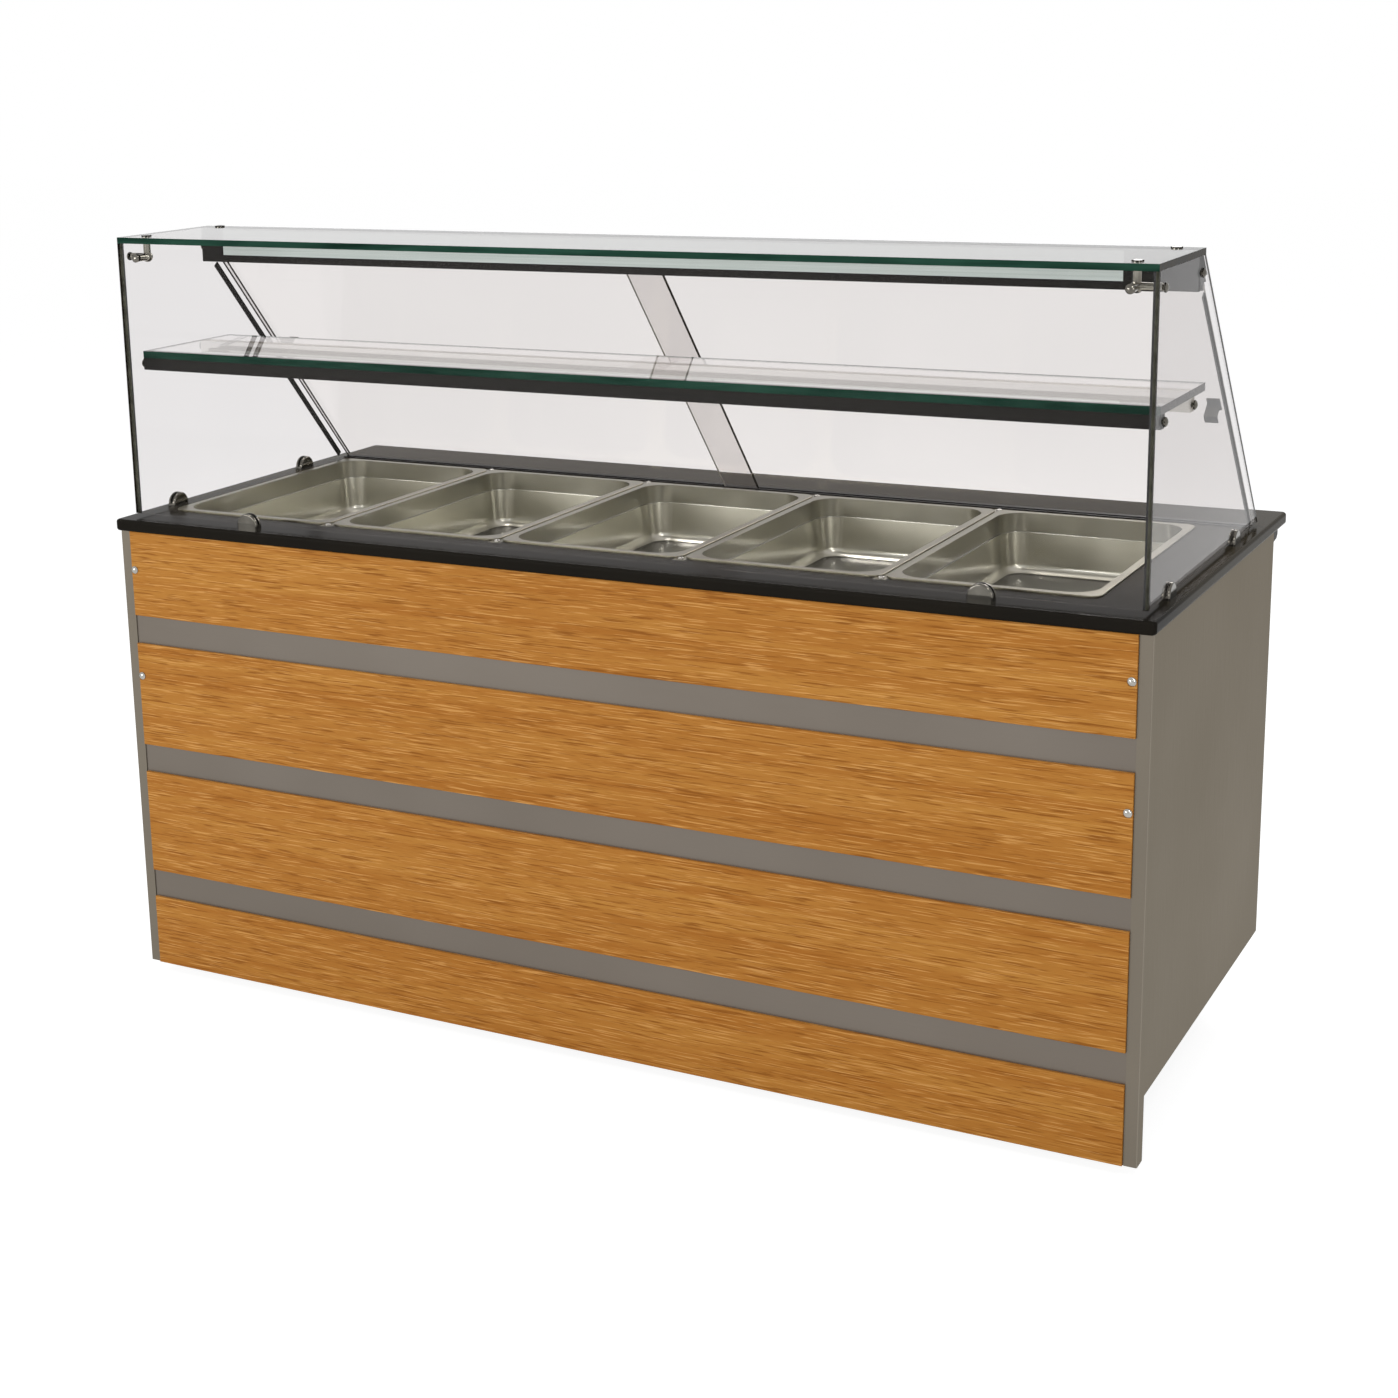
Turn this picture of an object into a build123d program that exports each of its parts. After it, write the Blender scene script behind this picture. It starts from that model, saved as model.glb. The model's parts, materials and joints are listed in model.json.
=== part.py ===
from build123d import *
import math
import os

os.makedirs("parts", exist_ok=True)

# Cold well with five gastronorm pans, which set the size of the counter
pan_count = 5
pan_width = 325
pan_length = 530
pan_gap = 5
pan_depth = 100
pan_rim = 12.5
pan_rim_height = 2.5
pan_rim_corner = 18
pan_rim_round = 1.1
pan_mouth_corner = 42
pan_shoulder_depth = 32
pan_shoulder = 3.5
pan_wall = 1.2
pan_draft = 5
pan_floor_radius = 16
well_end_gap = 3.8
well_side_gap = 2.3
well_corner = 12
well_floor_gap = 40

# Worktop in millimetres: X along the front, Y from the guests to the staff, Z up from the floor
worktop_left_margin = 55
worktop_right_margin = 115
worktop_front_margin = 101
worktop_rear_margin = 169
worktop_height = 830
worktop_thickness = 20
worktop_bullnose = 5
worktop_corner = 8
canopy_rise = 477
floor_gap = 20

# Sheet metal, fits and clearances
sheet = 1.5
frame_sheet = 2
seat_clearance = 0.3
running_clearance = 0.05
hole_clearance = 0.2

# Cabinet shell
side_inset = 4
front_overhang = 10
rear_overhang = 73
side_bottom = 121
leg_depth = 27
side_return = 20
top_return = 25
base_height = 30
fold_radius = 2

# Front boards, the steel bands between them and the dome screws
board_thickness = 5
board_end_gap = 1
board_top_gap = 1
board_chamfer = 0.5
top_board_drop = 149
band_count = 3
band_height = 50
band_pitch = 233
screw_drops = (68, 257)
screw_end_inset = 7
screw_head_radius = 6.5
screw_head_rim = 1.5
screw_head_height = 4.5
screw_shank_radius = 2.5
screw_bite = 6

# Levelling feet
foot_end_inset = 120
foot_front_inset = 100
foot_rear_inset = 170
foot_pad_radius = 24
foot_neck_radius = 14
foot_sleeve_radius = 19
foot_pad_height = 8
foot_taper_height = 40
foot_sleeve_height = 48

# Liner, insulation, cooling coil and drain of the well
liner_flange = 20
insulation_thickness = 35
coil_pocket_height = 14
coil_pocket_inset = 30
coil_tube_radius = 5
coil_gap = 0.2
coil_runs = 6
coil_side_margin = 51
coil_turn_margin = 65
coil_tail_offset = 70
coil_tail = 10
coil_bend_radius = 30
coil_slot_clearance = 3
drain_bay_inset = 52
drain_radius = 10.5
drain_bore_radius = 7.5
drain_flange_radius = 30
drain_flange_height = 2
drain_nut_radius = 18
drain_nut_height = 8
drain_outlet_height = 70
crossbar_width = 20
crossbar_drop = 18
crossbar_tab = 20

# Glass canopy
pane = 6
top_pane = 10
shelf_pane = 12
pane_lift = 6
canopy_side_inset = 20
canopy_front_inset = 34
side_pane_foot_inset = 125
side_pane_angle = 40.7
clamp_radius = 20
clamp_height = 23
clamp_thickness = 16
clamp_round = 3
clamp_slot_clearance = 0.2
front_clamp_inset = 239
side_clamp_insets = (111, 490)
bolt_cap_radius = 7
bolt_cap_rim = 2
bolt_cap_height = 5
bolt_disc_radius = 8.5
bolt_disc_rim = 2
bolt_disc_height = 3
bolt_shank_radius = 3
bolt_grip = 5
bolt_hole_depth = 12
glass_hole_clearance = 0.25
thread_clearance = 0.1
connector_side_inset = 38
connector_front_inset = 31
connector_drop = 24
connector_hub_radius = 9
connector_arm_radius = 6

# Mid shelf
shelf_rise = 263
shelf_end_gap = 0.3
shelf_front_gap = 35
shelf_depth = 238
shelf_edge = 0.5
shelf_rail = 20
shelf_rail_spacing = 157
shelf_rail_end = 3

# Light housing under the rear of the top glass
light_depth = 22
light_height = 50
light_box_height = 30
light_leg_depth = 9
light_wall = 2
light_rear_gap = 4
light_end_wall = 4
light_window_left = 46
light_window_right = 104
light_window_height = 35
light_window_drop = 3
light_lip = 6
diffuser_thickness = 3
led_width = 14
led_height = 4
light_bolt_setback = 12
light_bolt_drop = 24

# Slanted sliding glass doors, their tracks, jambs and pulls
door_foot_inset = 150
door_foot_rise = 2
door_slant = 41
door_overlap = 60
door_meeting_left = 22
door_end_gap = 2
door_pane_gap = 2
door_run_clearance = 0.4
track_grip = 6
track_lip = 2.5
track_web = 3.5
track_sink = 8.5
track_stand = 1.5
track_head_gap = 2
track_leg_gap = 3
track_flange_height = 4
jamb_width = 2.5
jamb_depth = 10
jamb_gap = 2
jamb_end_gap = 4
pull_run = 300
pull_width = 20
pull_length = 24
pull_reach = 28
pull_plate = 2.5
pull_edge_inset = 8

# Rear wall: header, mullion, fascia, storage doors and service panel
header_height = 121
header_depth = 20
fascia_height = 53
fascia_return = 41
mullion_width = 30
rear_panel_depth = 20
rear_panel_proud = 3
rear_panel_sill = 3
rear_panel_head_gap = 4
rear_panel_side_gap = 4.5
rear_panel_gap = 7
storage_inset = 5
door_meeting_gap = 4
hinge_inset = 8
hinge_pin_radius = 3
hinge_pin_length = 15
hinge_plate = 2.7
hinge_plate_half_width = 12
hinge_bush = 16
handle_radius = 5
handle_reach = 34
handle_length = 140
handle_edge_inset = 42
handle_rise = 306
handle_bend_radius = 12
louvre_count = 9
louvre_pitch = 34
louvre_rise = 79
louvre_end_inset = 55
louvre_height = 14
louvre_reach = 7
louvre_slot = 8
panel_screw_inset = 16
gland_end_inset = 34
gland_rise = 44
gland_thread_radius = 8
gland_body_radius = 12
gland_body_height = 8
gland_cap_radius = 9
gland_cap_height = 14
gland_cap_chamfer = 3
gland_nut_radius = 12
gland_nut_height = 6
gland_bore_radius = 4

# Controls under the rear overhang
control_drop = 26
knob_inset = 28.5
knob_radius = 20
knob_skirt = 7
knob_grip_radius = 16
knob_length = 31
knob_gap = 2
knob_flutes = 10
knob_flute_radius = 3
knob_edge = 1
knob_marker = 2
thermostat_shaft_radius = 3
thermostat_shaft_length = 18
thermostat_collar_radius = 5
module_width = 150
module_height = 42
module_depth = 28
module_knob_offset = 54
bezel_width = 56
bezel_height = 34
bezel_thickness = 2
bezel_border = 2
bezel_knob_offset = 76
rocker_pitch = 24
rocker_width = 16
rocker_half_height = 10
rocker_end_depth = 9.5
rocker_dip = 1.5
rocker_back_depth = 5
rocker_back_half_height = 6
rocker_swing = 8
rocker_socket_gap = 1.8
rocker_socket_depth = 22
rocker_pivot_depth = 7
trunnion_radius = 1.5
trunnion_length = 1.5

# Condensing unit in the bay beside the storage cupboard
compressor_offset = 10
compressor_setback = 366
compressor_radius = 75
compressor_height = 190
compressor_dome = 40
compressor_crown = 14
compressor_foot_width = 190
compressor_foot_depth = 120
compressor_foot_height = 6
stub_radius = 5
stub_length = 15
suction_stub_rise = 99
discharge_stub_rise = 149
condenser_mullion_gap = 82
condenser_side_gap = 134.5
condenser_setback = 91
condenser_width = 260
condenser_depth = 50
condenser_height = 250
condenser_fin_count = 16
condenser_fin_groove = 8
condenser_frame = 12
fan_hub_radius = 24
fan_hub_length = 20
fan_blade_count = 5
fan_blade_chord = 56
fan_blade_reach = 90
fan_blade_thickness = 2
fan_blade_angle = 28
fan_tip_clearance = 12
fan_gap = 8
shroud_depth = 36
shroud_sheet = 2
shroud_arm_width = 14
shroud_arm_count = 3
motor_radius = 34
motor_length = 50
motor_chamfer = 8
motor_shaft_radius = 3
motor_seat_height = 4
pipe_radius = 4
pipe_bend_radius = 26
drier_radius = 12
drier_length = 100
drier_side_inset = 54.5
drier_rise = 149
discharge_drier_gap = 40
liquid_outlet_rise = 39
liquid_drop = 85

# Counter faces worked out from the pans and the margins
pan_pitch = pan_width + pan_gap
pan_mouth_width = pan_width - 2 * pan_rim
pan_mouth_length = pan_length - 2 * pan_rim
well_length = (pan_count - 1) * pan_pitch + pan_mouth_width + 2 * (pan_wall + well_end_gap)
well_width = pan_mouth_length + 2 * (pan_wall + well_side_gap)
worktop_width = well_length + worktop_left_margin + worktop_right_margin
worktop_depth = pan_length + worktop_front_margin + worktop_rear_margin
worktop_front = -worktop_depth / 2
worktop_rear = worktop_depth / 2
under_z = worktop_height - worktop_thickness
side_x = worktop_width / 2 - side_inset
side_in = side_x - sheet
front_y = worktop_front + front_overhang
rear_y = worktop_rear - rear_overhang
skin_y = front_y + sheet
skin_back_y = skin_y + sheet
base_top = side_bottom + base_height
rear_panel_y = rear_y + rear_panel_proud
frame_y = rear_panel_y - rear_panel_depth - 2 * frame_sheet
header_top = under_z - fascia_height
header_bottom = header_top - header_height
board_half = side_x - side_return - board_end_gap
board_face_y = skin_y - board_thickness
screw_x = board_half - screw_end_inset
screw_heights = [under_z - drop for drop in screw_drops]

# Well
pan_group_x = -worktop_width / 2 + worktop_left_margin + well_length / 2
pan_group_y = worktop_front + worktop_front_margin + pan_length / 2
pan_middle = (pan_count - 1) / 2
pan_xs = [pan_group_x + (i - pan_middle) * pan_pitch for i in range(pan_count)]
bar_xs = [x + pan_pitch / 2 for x in pan_xs[:-1]]
rim_z = worktop_height + pan_rim_height
well_floor = rim_z - pan_depth - pan_wall - well_floor_gap
liner_bottom = well_floor - sheet
insulation_bottom = liner_bottom - insulation_thickness
condenser_x = side_in - condenser_side_gap - condenser_width / 2
mullion_x = condenser_x - condenser_width / 2 - condenser_mullion_gap
drain_x = mullion_x + drain_bay_inset
coil_end_x = condenser_x + coil_tail_offset
coil_turn_x = pan_group_x - well_length / 2 + coil_turn_margin
coil_pitch = (well_width - 2 * coil_side_margin) / (coil_runs - 1)

# Canopy
canopy_height = worktop_height + canopy_rise
pane_bottom = worktop_height + pane_lift
pane_top = canopy_height - top_pane
pane_side = worktop_width / 2 - canopy_side_inset
pane_side_in = pane_side - pane
pane_front = worktop_front + canopy_front_inset
pane_front_in = pane_front + pane
side_pane_foot_y = worktop_rear - side_pane_foot_inset
side_slope = math.tan(math.radians(side_pane_angle))
canopy_rear_y = side_pane_foot_y - (pane_top - pane_bottom) * side_slope
connector_x = pane_side - connector_side_inset
connector_y = pane_front + connector_front_inset
connector_z = pane_top - connector_drop
rail_top = worktop_height + shelf_rise + pane_lift
shelf_top = rail_top + shelf_pane
rail_bottom = rail_top - shelf_rail
shelf_front_y = pane_front_in + shelf_front_gap
rail_front_y = shelf_front_y + shelf_rail / 2
rail_ys = (rail_front_y, rail_front_y + shelf_rail_spacing)
light_bottom = pane_top - light_height
light_box_bottom = pane_top - light_box_height
light_rear_top = canopy_rear_y - light_rear_gap
light_front_y = light_rear_top - light_depth
light_leg_y = light_front_y + light_leg_depth
light_bolt_y = light_front_y + light_bolt_setback
door_foot_y = worktop_rear - door_foot_inset
door_foot_z = worktop_height + door_foot_rise
slant_rise = math.cos(math.radians(door_slant))
slant_out = math.sin(math.radians(door_slant))

# Rear wall, controls and condensing unit
storage_left = -side_in + rear_panel_side_gap
storage_right = mullion_x - storage_inset
service_left = storage_right + rear_panel_gap
service_right = side_in - rear_panel_side_gap
panel_bottom = side_bottom + rear_panel_sill
panel_top = header_top - rear_panel_head_gap
panel_inner_y = rear_panel_y - rear_panel_depth
meeting_x = (storage_left + storage_right) / 2
hinge_y = rear_panel_y - hinge_inset
handle_bottom = panel_bottom + handle_rise
gland_x = service_right - gland_end_inset
gland_z = panel_bottom + gland_rise
control_z = under_z - control_drop
knob_x = side_in - knob_inset
module_centre_x = knob_x - module_knob_offset
bezel_centre_x = knob_x - bezel_knob_offset
module_y = rear_y - frame_sheet
compressor_x = condenser_x - compressor_offset
compressor_y = frame_y - compressor_setback
suction_stub_z = base_top + suction_stub_rise
discharge_stub_z = base_top + discharge_stub_rise
condenser_front_y = frame_y - condenser_setback
fan_z = base_top + condenser_height / 2
fan_rear_y = condenser_front_y - fan_gap
drier_x = side_in - drier_side_inset
drier_bottom = base_top + drier_rise


def save(part, label):
    """Label a finished piece and write it to its own file."""
    part.label = label
    export_step(part, f"parts/{label}.step")


def block(x, y, z, mode=Mode.ADD):
    """Box between two limits along each axis."""
    centre = tuple((low + high) / 2 for low, high in (x, y, z))
    width, depth, height = [high - low for low, high in (x, y, z)]
    with Locations(centre):
        Box(width, depth, height, mode=mode)


def rod(start, direction, radius, length, mode=Mode.ADD):
    """Round bar or round hole from a start point along a direction."""
    with Locations(Plane(origin=start, z_dir=direction).location):
        Cylinder(radius, length, align=(Align.CENTER, Align.CENTER, Align.MIN), mode=mode)


def dome_fastener(seat, outward, across, radius, rim, height, shank_radius, shank_length):
    """Domed head on a plain shank, turned about its own axis."""
    axis = Axis(seat, outward)
    plane = Plane(origin=seat, x_dir=across, z_dir=Vector(*across).cross(Vector(*outward)))
    with BuildSketch(plane) as section:
        with BuildLine():
            Polyline(
                (0, height),
                (0, -shank_length),
                (shank_radius, -shank_length),
                (shank_radius, 0),
                (radius, 0),
                (radius, rim),
            )
            RadiusArc((radius, rim), (0, height), -dome_radius(radius, height - rim))
        make_face()
    revolve(section.sketch, axis=axis)


def dome_radius(half_width, rise):
    """Radius of an arc that rises over half a width and ends level at the middle."""
    return (half_width**2 + rise**2) / (2 * rise)


def along_slant(run, out):
    """Y and Z of a point on the sliding doors' slanted plane, run up it and out from it."""
    y = door_foot_y - run * slant_out + out * slant_rise
    z = door_foot_z + run * slant_rise + out * slant_out
    return y, z


def run_at(z, out):
    """Run up the slanted plane at which a point out from it lies at a height."""
    return (z - door_foot_z - out * slant_out) / slant_rise


def level_point(z, out):
    """Y and Z of a point at a height, out from the slanted plane."""
    return along_slant(run_at(z, out), out)


def slant_band(run, out):
    """Four corners of a rectangle on the slanted doors' section."""
    return [
        along_slant(run[0], out[0]),
        along_slant(run[0], out[1]),
        along_slant(run[1], out[1]),
        along_slant(run[1], out[0]),
    ]


# Slanted doors: each pane's place out from their plane, and the levels of the tracks that hold them
inner_out = (0, pane)
outer_out = (pane + door_pane_gap, 2 * pane + door_pane_gap)
track_out = (inner_out[0] - track_lip, outer_out[1] + track_lip)
track_z = (worktop_height - track_sink, worktop_height + track_stand)
track_y = (level_point(track_z[1], track_out[0])[0], level_point(track_z[0], track_out[1])[0])
groove_floor = track_z[0] + track_web
crown_run = run_at(light_box_bottom - track_head_gap, track_out[1])
roof_run = crown_run - track_web
door_top_run = roof_run - seat_clearance
mouth_run = door_top_run - track_grip
door_half = pane_side_in - door_end_gap

# Worktop: stone slab with rounded edges, the well cut-out and rebates for crossbars and door track
with BuildPart() as worktop:
    with BuildSketch(Plane.XY.offset(under_z)):
        RectangleRounded(worktop_width, worktop_depth, worktop_corner)
    extrude(amount=worktop_thickness)
    rims = worktop.faces().filter_by(Axis.Z)
    fillet(rims.edges(), worktop_bullnose)
    with BuildSketch(Plane.XY.offset(under_z)):
        with Locations((pan_group_x, pan_group_y)):
            RectangleRounded(well_length, well_width, well_corner)
    extrude(amount=worktop_thickness, mode=Mode.SUBTRACT)
    with BuildSketch(Plane.XY.offset(worktop_height)):
        with Locations(*[(x, pan_group_y) for x in bar_xs]):
            tab_span = well_width + 2 * crossbar_tab
            Rectangle(crossbar_width + 2 * hole_clearance, tab_span + 2 * hole_clearance)
    extrude(amount=-sheet, mode=Mode.SUBTRACT)
    rebate_x = (-door_half - hole_clearance, door_half + hole_clearance)
    rebate_y = (track_y[0] - hole_clearance, track_y[1] + hole_clearance)
    block(rebate_x, rebate_y, (track_z[0], worktop_height), Mode.SUBTRACT)
save(worktop.part, "worktop")

# Crossbars: upside-down channels whose end tabs lie in the rebates, level with the worktop
with BuildPart() as crossbars:
    with BuildSketch(Plane.XY.offset(worktop_height)):
        with Locations(*[(x, pan_group_y) for x in bar_xs]):
            Rectangle(crossbar_width, well_width + 2 * crossbar_tab)
    extrude(amount=-sheet)
    with BuildSketch(Plane.XY.offset(worktop_height - sheet)):
        with Locations(*[(x, pan_group_y) for x in bar_xs]):
            Rectangle(crossbar_width, well_width - 2 * seat_clearance)
            Rectangle(crossbar_width - 2 * sheet, well_width, mode=Mode.SUBTRACT)
    extrude(amount=-crossbar_drop)
save(crossbars.part, "crossbars")


def pan_form(wall):
    """Drawn pan shape below the rim, grown outwards by a wall: mouth, stacking shoulder, drafted bowl."""
    with BuildPart() as form:
        with BuildSketch(Plane.XY.offset(rim_z)):
            with Locations((0, pan_group_y)):
                width, length = pan_mouth_width + 2 * wall, pan_mouth_length + 2 * wall
                RectangleRounded(width, length, pan_mouth_corner + wall)
        extrude(amount=-(pan_shoulder_depth + wall))
        with BuildSketch(Plane.XY.offset(rim_z - pan_shoulder_depth)):
            with Locations((0, pan_group_y)):
                RectangleRounded(
                    pan_mouth_width - 2 * pan_shoulder + 2 * wall,
                    pan_mouth_length - 2 * pan_shoulder + 2 * wall,
                    pan_mouth_corner - pan_shoulder + wall,
                )
        extrude(amount=-(pan_depth - pan_shoulder_depth + wall), taper=pan_draft)
        fillet(form.faces().sort_by(Axis.Z)[0].edges(), pan_floor_radius + wall)
    return form.part


# Pans: one drawn steel form with a rolled rim, repeated along the well
pan_outside = pan_form(pan_wall)
pan_inside = pan_form(0)
with BuildPart() as pan:
    with BuildSketch(Plane.XY.offset(worktop_height)):
        with Locations((0, pan_group_y)):
            RectangleRounded(pan_width, pan_length, pan_rim_corner)
    extrude(amount=pan_rim_height)
    fillet(pan.faces().sort_by(Axis.Z)[-1].edges(), pan_rim_round)
    add(pan_outside)
    add(pan_inside, mode=Mode.SUBTRACT)
for number, x in enumerate(pan_xs, start=1):
    save(pan.part.moved(Location((x, 0, 0))), f"pan_{number}")

# Well liner: steel tub hung by its flange under the worktop, with the drain hole in its floor
with BuildPart() as well_liner:
    with BuildSketch(Plane.XY.offset(under_z)):
        with Locations((pan_group_x, pan_group_y)):
            flange_growth = 2 * (sheet + liner_flange)
            RectangleRounded(well_length + flange_growth, well_width + flange_growth, well_corner)
    extrude(amount=-sheet)
    with BuildSketch(Plane.XY.offset(liner_bottom)):
        with Locations((pan_group_x, pan_group_y)):
            RectangleRounded(well_length + 2 * sheet, well_width + 2 * sheet, well_corner + sheet)
    extrude(amount=under_z - liner_bottom)
    with BuildSketch(Plane.XY.offset(well_floor)):
        with Locations((pan_group_x, pan_group_y)):
            RectangleRounded(well_length, well_width, well_corner)
    extrude(amount=under_z - well_floor, mode=Mode.SUBTRACT)
    rod((drain_x, pan_group_y, liner_bottom), (0, 0, 1), drain_radius + hole_clearance, sheet, Mode.SUBTRACT)
save(well_liner.part, "well_liner")

# Cooling coil: one serpentine tube under the liner floor, with both tails down into the unit space
coil_z = liner_bottom - coil_gap - coil_tube_radius
coil_ys = [pan_group_y + (i - (coil_runs - 1) / 2) * coil_pitch for i in range(coil_runs)]
coil_end_z = insulation_bottom - coil_tail
coil_points = [(coil_end_x, coil_ys[0], coil_end_z)]
for run, y in enumerate(coil_ys):
    out_x = coil_end_x if run % 2 == 0 else coil_turn_x
    back_x = coil_turn_x if run % 2 == 0 else coil_end_x
    coil_points += [(out_x, y, coil_z), (back_x, y, coil_z)]
coil_points.append((coil_end_x, coil_ys[-1], coil_end_z))
with BuildPart() as cooling_coil:
    with BuildLine() as coil_path:
        FilletPolyline(*coil_points, radius=coil_bend_radius)
    with BuildSketch(Plane(origin=coil_path.line @ 0, z_dir=coil_path.line % 0)):
        Circle(coil_tube_radius)
    sweep()
save(cooling_coil.part, "cooling_coil")

# Insulation: foam jacket round the liner, with a flat pocket for the coil and slots for its tails
tail_slot = coil_bend_radius + 2 * (coil_tube_radius + coil_slot_clearance)
tail_slot_x = coil_end_x - coil_bend_radius / 2
with BuildPart() as well_insulation:
    with BuildSketch(Plane.XY.offset(insulation_bottom)):
        with Locations((pan_group_x, pan_group_y)):
            jacket = 2 * (sheet + insulation_thickness)
            Rectangle(well_length + jacket, well_width + jacket)
    extrude(amount=under_z - sheet - insulation_bottom)
    with BuildSketch(Plane.XY.offset(liner_bottom)):
        with Locations((pan_group_x, pan_group_y)):
            RectangleRounded(well_length + 2 * sheet, well_width + 2 * sheet, well_corner + sheet)
    extrude(amount=under_z - liner_bottom, mode=Mode.SUBTRACT)
    with BuildSketch(Plane.XY.offset(liner_bottom)):
        with Locations((pan_group_x, pan_group_y)):
            Rectangle(well_length - 2 * coil_pocket_inset, well_width - 2 * coil_pocket_inset)
    extrude(amount=-coil_pocket_height, mode=Mode.SUBTRACT)
    with BuildSketch(Plane.XY.offset(insulation_bottom)):
        with Locations((tail_slot_x, coil_ys[0]), (tail_slot_x, coil_ys[-1])):
            Rectangle(tail_slot, 2 * (coil_tube_radius + coil_slot_clearance))
        with Locations((drain_x, pan_group_y)):
            Circle(drain_radius + hole_clearance)
    extrude(amount=insulation_thickness, mode=Mode.SUBTRACT)
save(well_insulation.part, "well_insulation")

# Drain fitting: flanged pipe from the well floor down through the base, with a nut at each wall
with BuildPart() as drain_fitting:
    base_under = base_top - frame_sheet
    drain_top = well_floor + drain_flange_height
    rod((drain_x, pan_group_y, well_floor), (0, 0, 1), drain_flange_radius, drain_flange_height)
    rod((drain_x, pan_group_y, drain_outlet_height), (0, 0, 1), drain_radius, drain_top - drain_outlet_height)
    for nut_top in (insulation_bottom, base_under):
        rod((drain_x, pan_group_y, nut_top), (0, 0, -1), drain_nut_radius, drain_nut_height)
    outlet = (drain_x, pan_group_y, drain_outlet_height)
    rod(outlet, (0, 0, 1), drain_bore_radius, drain_top - drain_outlet_height, Mode.SUBTRACT)
save(drain_fitting.part, "drain_fitting")

# Side panels: one folded sheet each, with a narrow front leg, a front return and a top return
for label, side in (("left_side_panel", -1), ("right_side_panel", 1)):
    with BuildPart() as side_panel:
        with BuildSketch(Plane.YZ.offset(side * side_x)):
            with BuildLine():
                Polyline(
                    (front_y, floor_gap),
                    (front_y, under_z),
                    (rear_y, under_z),
                    (rear_y, side_bottom),
                    (front_y + leg_depth, side_bottom),
                    (front_y + leg_depth, floor_gap),
                    close=True,
                )
            make_face()
        extrude(amount=-side * sheet)
        return_x = sorted((side * side_x, side * (side_x - side_return)))
        block(return_x, (front_y, skin_y), (floor_gap, under_z))
        fold_edge = side_panel.edges().filter_by(Axis.Z).group_by(Axis.Y)[0].sort_by(Axis.X)
        fillet(fold_edge[-1 if side > 0 else 0], fold_radius)
        top_x = sorted((side * side_x, side * (side_in - top_return)))
        block(top_x, (skin_y, rear_y), (under_z - sheet, under_z))
    save(side_panel.part, label)

# Front panel: flat steel skin lapped behind the side returns, seen as bands between the boards
with BuildPart() as front_panel:
    block((-side_in, side_in), (skin_y, skin_back_y), (floor_gap, under_z - sheet))
    for x in (-screw_x, screw_x):
        for z in screw_heights:
            start = (x, skin_y, z)
            rod(start, (0, 1, 0), screw_shank_radius + hole_clearance, sheet, Mode.SUBTRACT)
save(front_panel.part, "front_panel")

# Front boards: four wood-laminate boards on the skin, from the worktop down to the floor gap
band_tops = [under_z - top_board_drop - i * band_pitch for i in range(band_count)]
board_tops = [under_z - board_top_gap] + [top - band_height for top in band_tops]
board_bottoms = band_tops + [floor_gap]
board_names = ("front_board_top", "front_board_upper", "front_board_lower", "front_board_bottom")
for label, top, bottom in zip(board_names, board_tops, board_bottoms):
    with BuildPart() as board:
        block((-board_half, board_half), (board_face_y, skin_y), (bottom, top))
        face_edges = board.faces().sort_by(Axis.Y)[0].edges()
        chamfer(face_edges, board_chamfer)
        for z in [height for height in screw_heights if bottom < height < top]:
            for x in (-screw_x, screw_x):
                start = (x, board_face_y, z)
                rod(start, (0, 1, 0), screw_shank_radius + hole_clearance, board_thickness, Mode.SUBTRACT)
    save(board.part, label)

# Cabinet base: folded tray that carries the floor of the cabinet and stands on the feet
with BuildPart() as cabinet_base:
    block((-side_in, side_in), (skin_back_y, frame_y), (side_bottom, base_top))
    inner_x = side_in - frame_sheet
    inner_y = (skin_back_y + frame_sheet, frame_y - frame_sheet)
    block((-inner_x, inner_x), inner_y, (side_bottom, base_top - frame_sheet), Mode.SUBTRACT)
    for x in (service_left + panel_screw_inset, service_right - panel_screw_inset):
        start = (x, frame_y - frame_sheet, panel_bottom + panel_screw_inset)
        rod(start, (0, 1, 0), screw_shank_radius + hole_clearance, frame_sheet, Mode.SUBTRACT)
    start = (drain_x, pan_group_y, base_top)
    rod(start, (0, 0, -1), drain_radius + hole_clearance, frame_sheet, Mode.SUBTRACT)
save(cabinet_base.part, "cabinet_base")

# Levelling feet: six turned legs with a spreading pad, up to the underside of the base
with BuildPart() as levelling_feet:
    foot_top = base_top - frame_sheet
    foot_end_x = worktop_width / 2 - foot_end_inset
    for x in (-foot_end_x, 0, foot_end_x):
        for y in (worktop_front + foot_front_inset, worktop_rear - foot_rear_inset):
            with BuildSketch(Plane(origin=(x, y, 0), x_dir=(1, 0, 0), z_dir=(0, -1, 0))):
                with BuildLine():
                    Polyline(
                        (0, 0),
                        (foot_pad_radius, 0),
                        (foot_pad_radius, foot_pad_height),
                        (foot_neck_radius, foot_taper_height),
                        (foot_neck_radius, foot_sleeve_height),
                        (foot_sleeve_radius, foot_sleeve_height),
                        (foot_sleeve_radius, foot_top),
                        (0, foot_top),
                        close=True,
                    )
                make_face()
            revolve(axis=Axis((x, y, 0), (0, 0, 1)))
save(levelling_feet.part, "levelling_feet")

# Divider between the storage cupboard and the condensing unit
with BuildPart() as divider_panel:
    divider_y = (skin_back_y, frame_y - header_depth)
    block((mullion_x, mullion_x + sheet), divider_y, (base_top, insulation_bottom))
    block((mullion_x, mullion_x + side_return), divider_y, (base_top, base_top + sheet))
save(divider_panel.part, "divider_panel")

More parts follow.
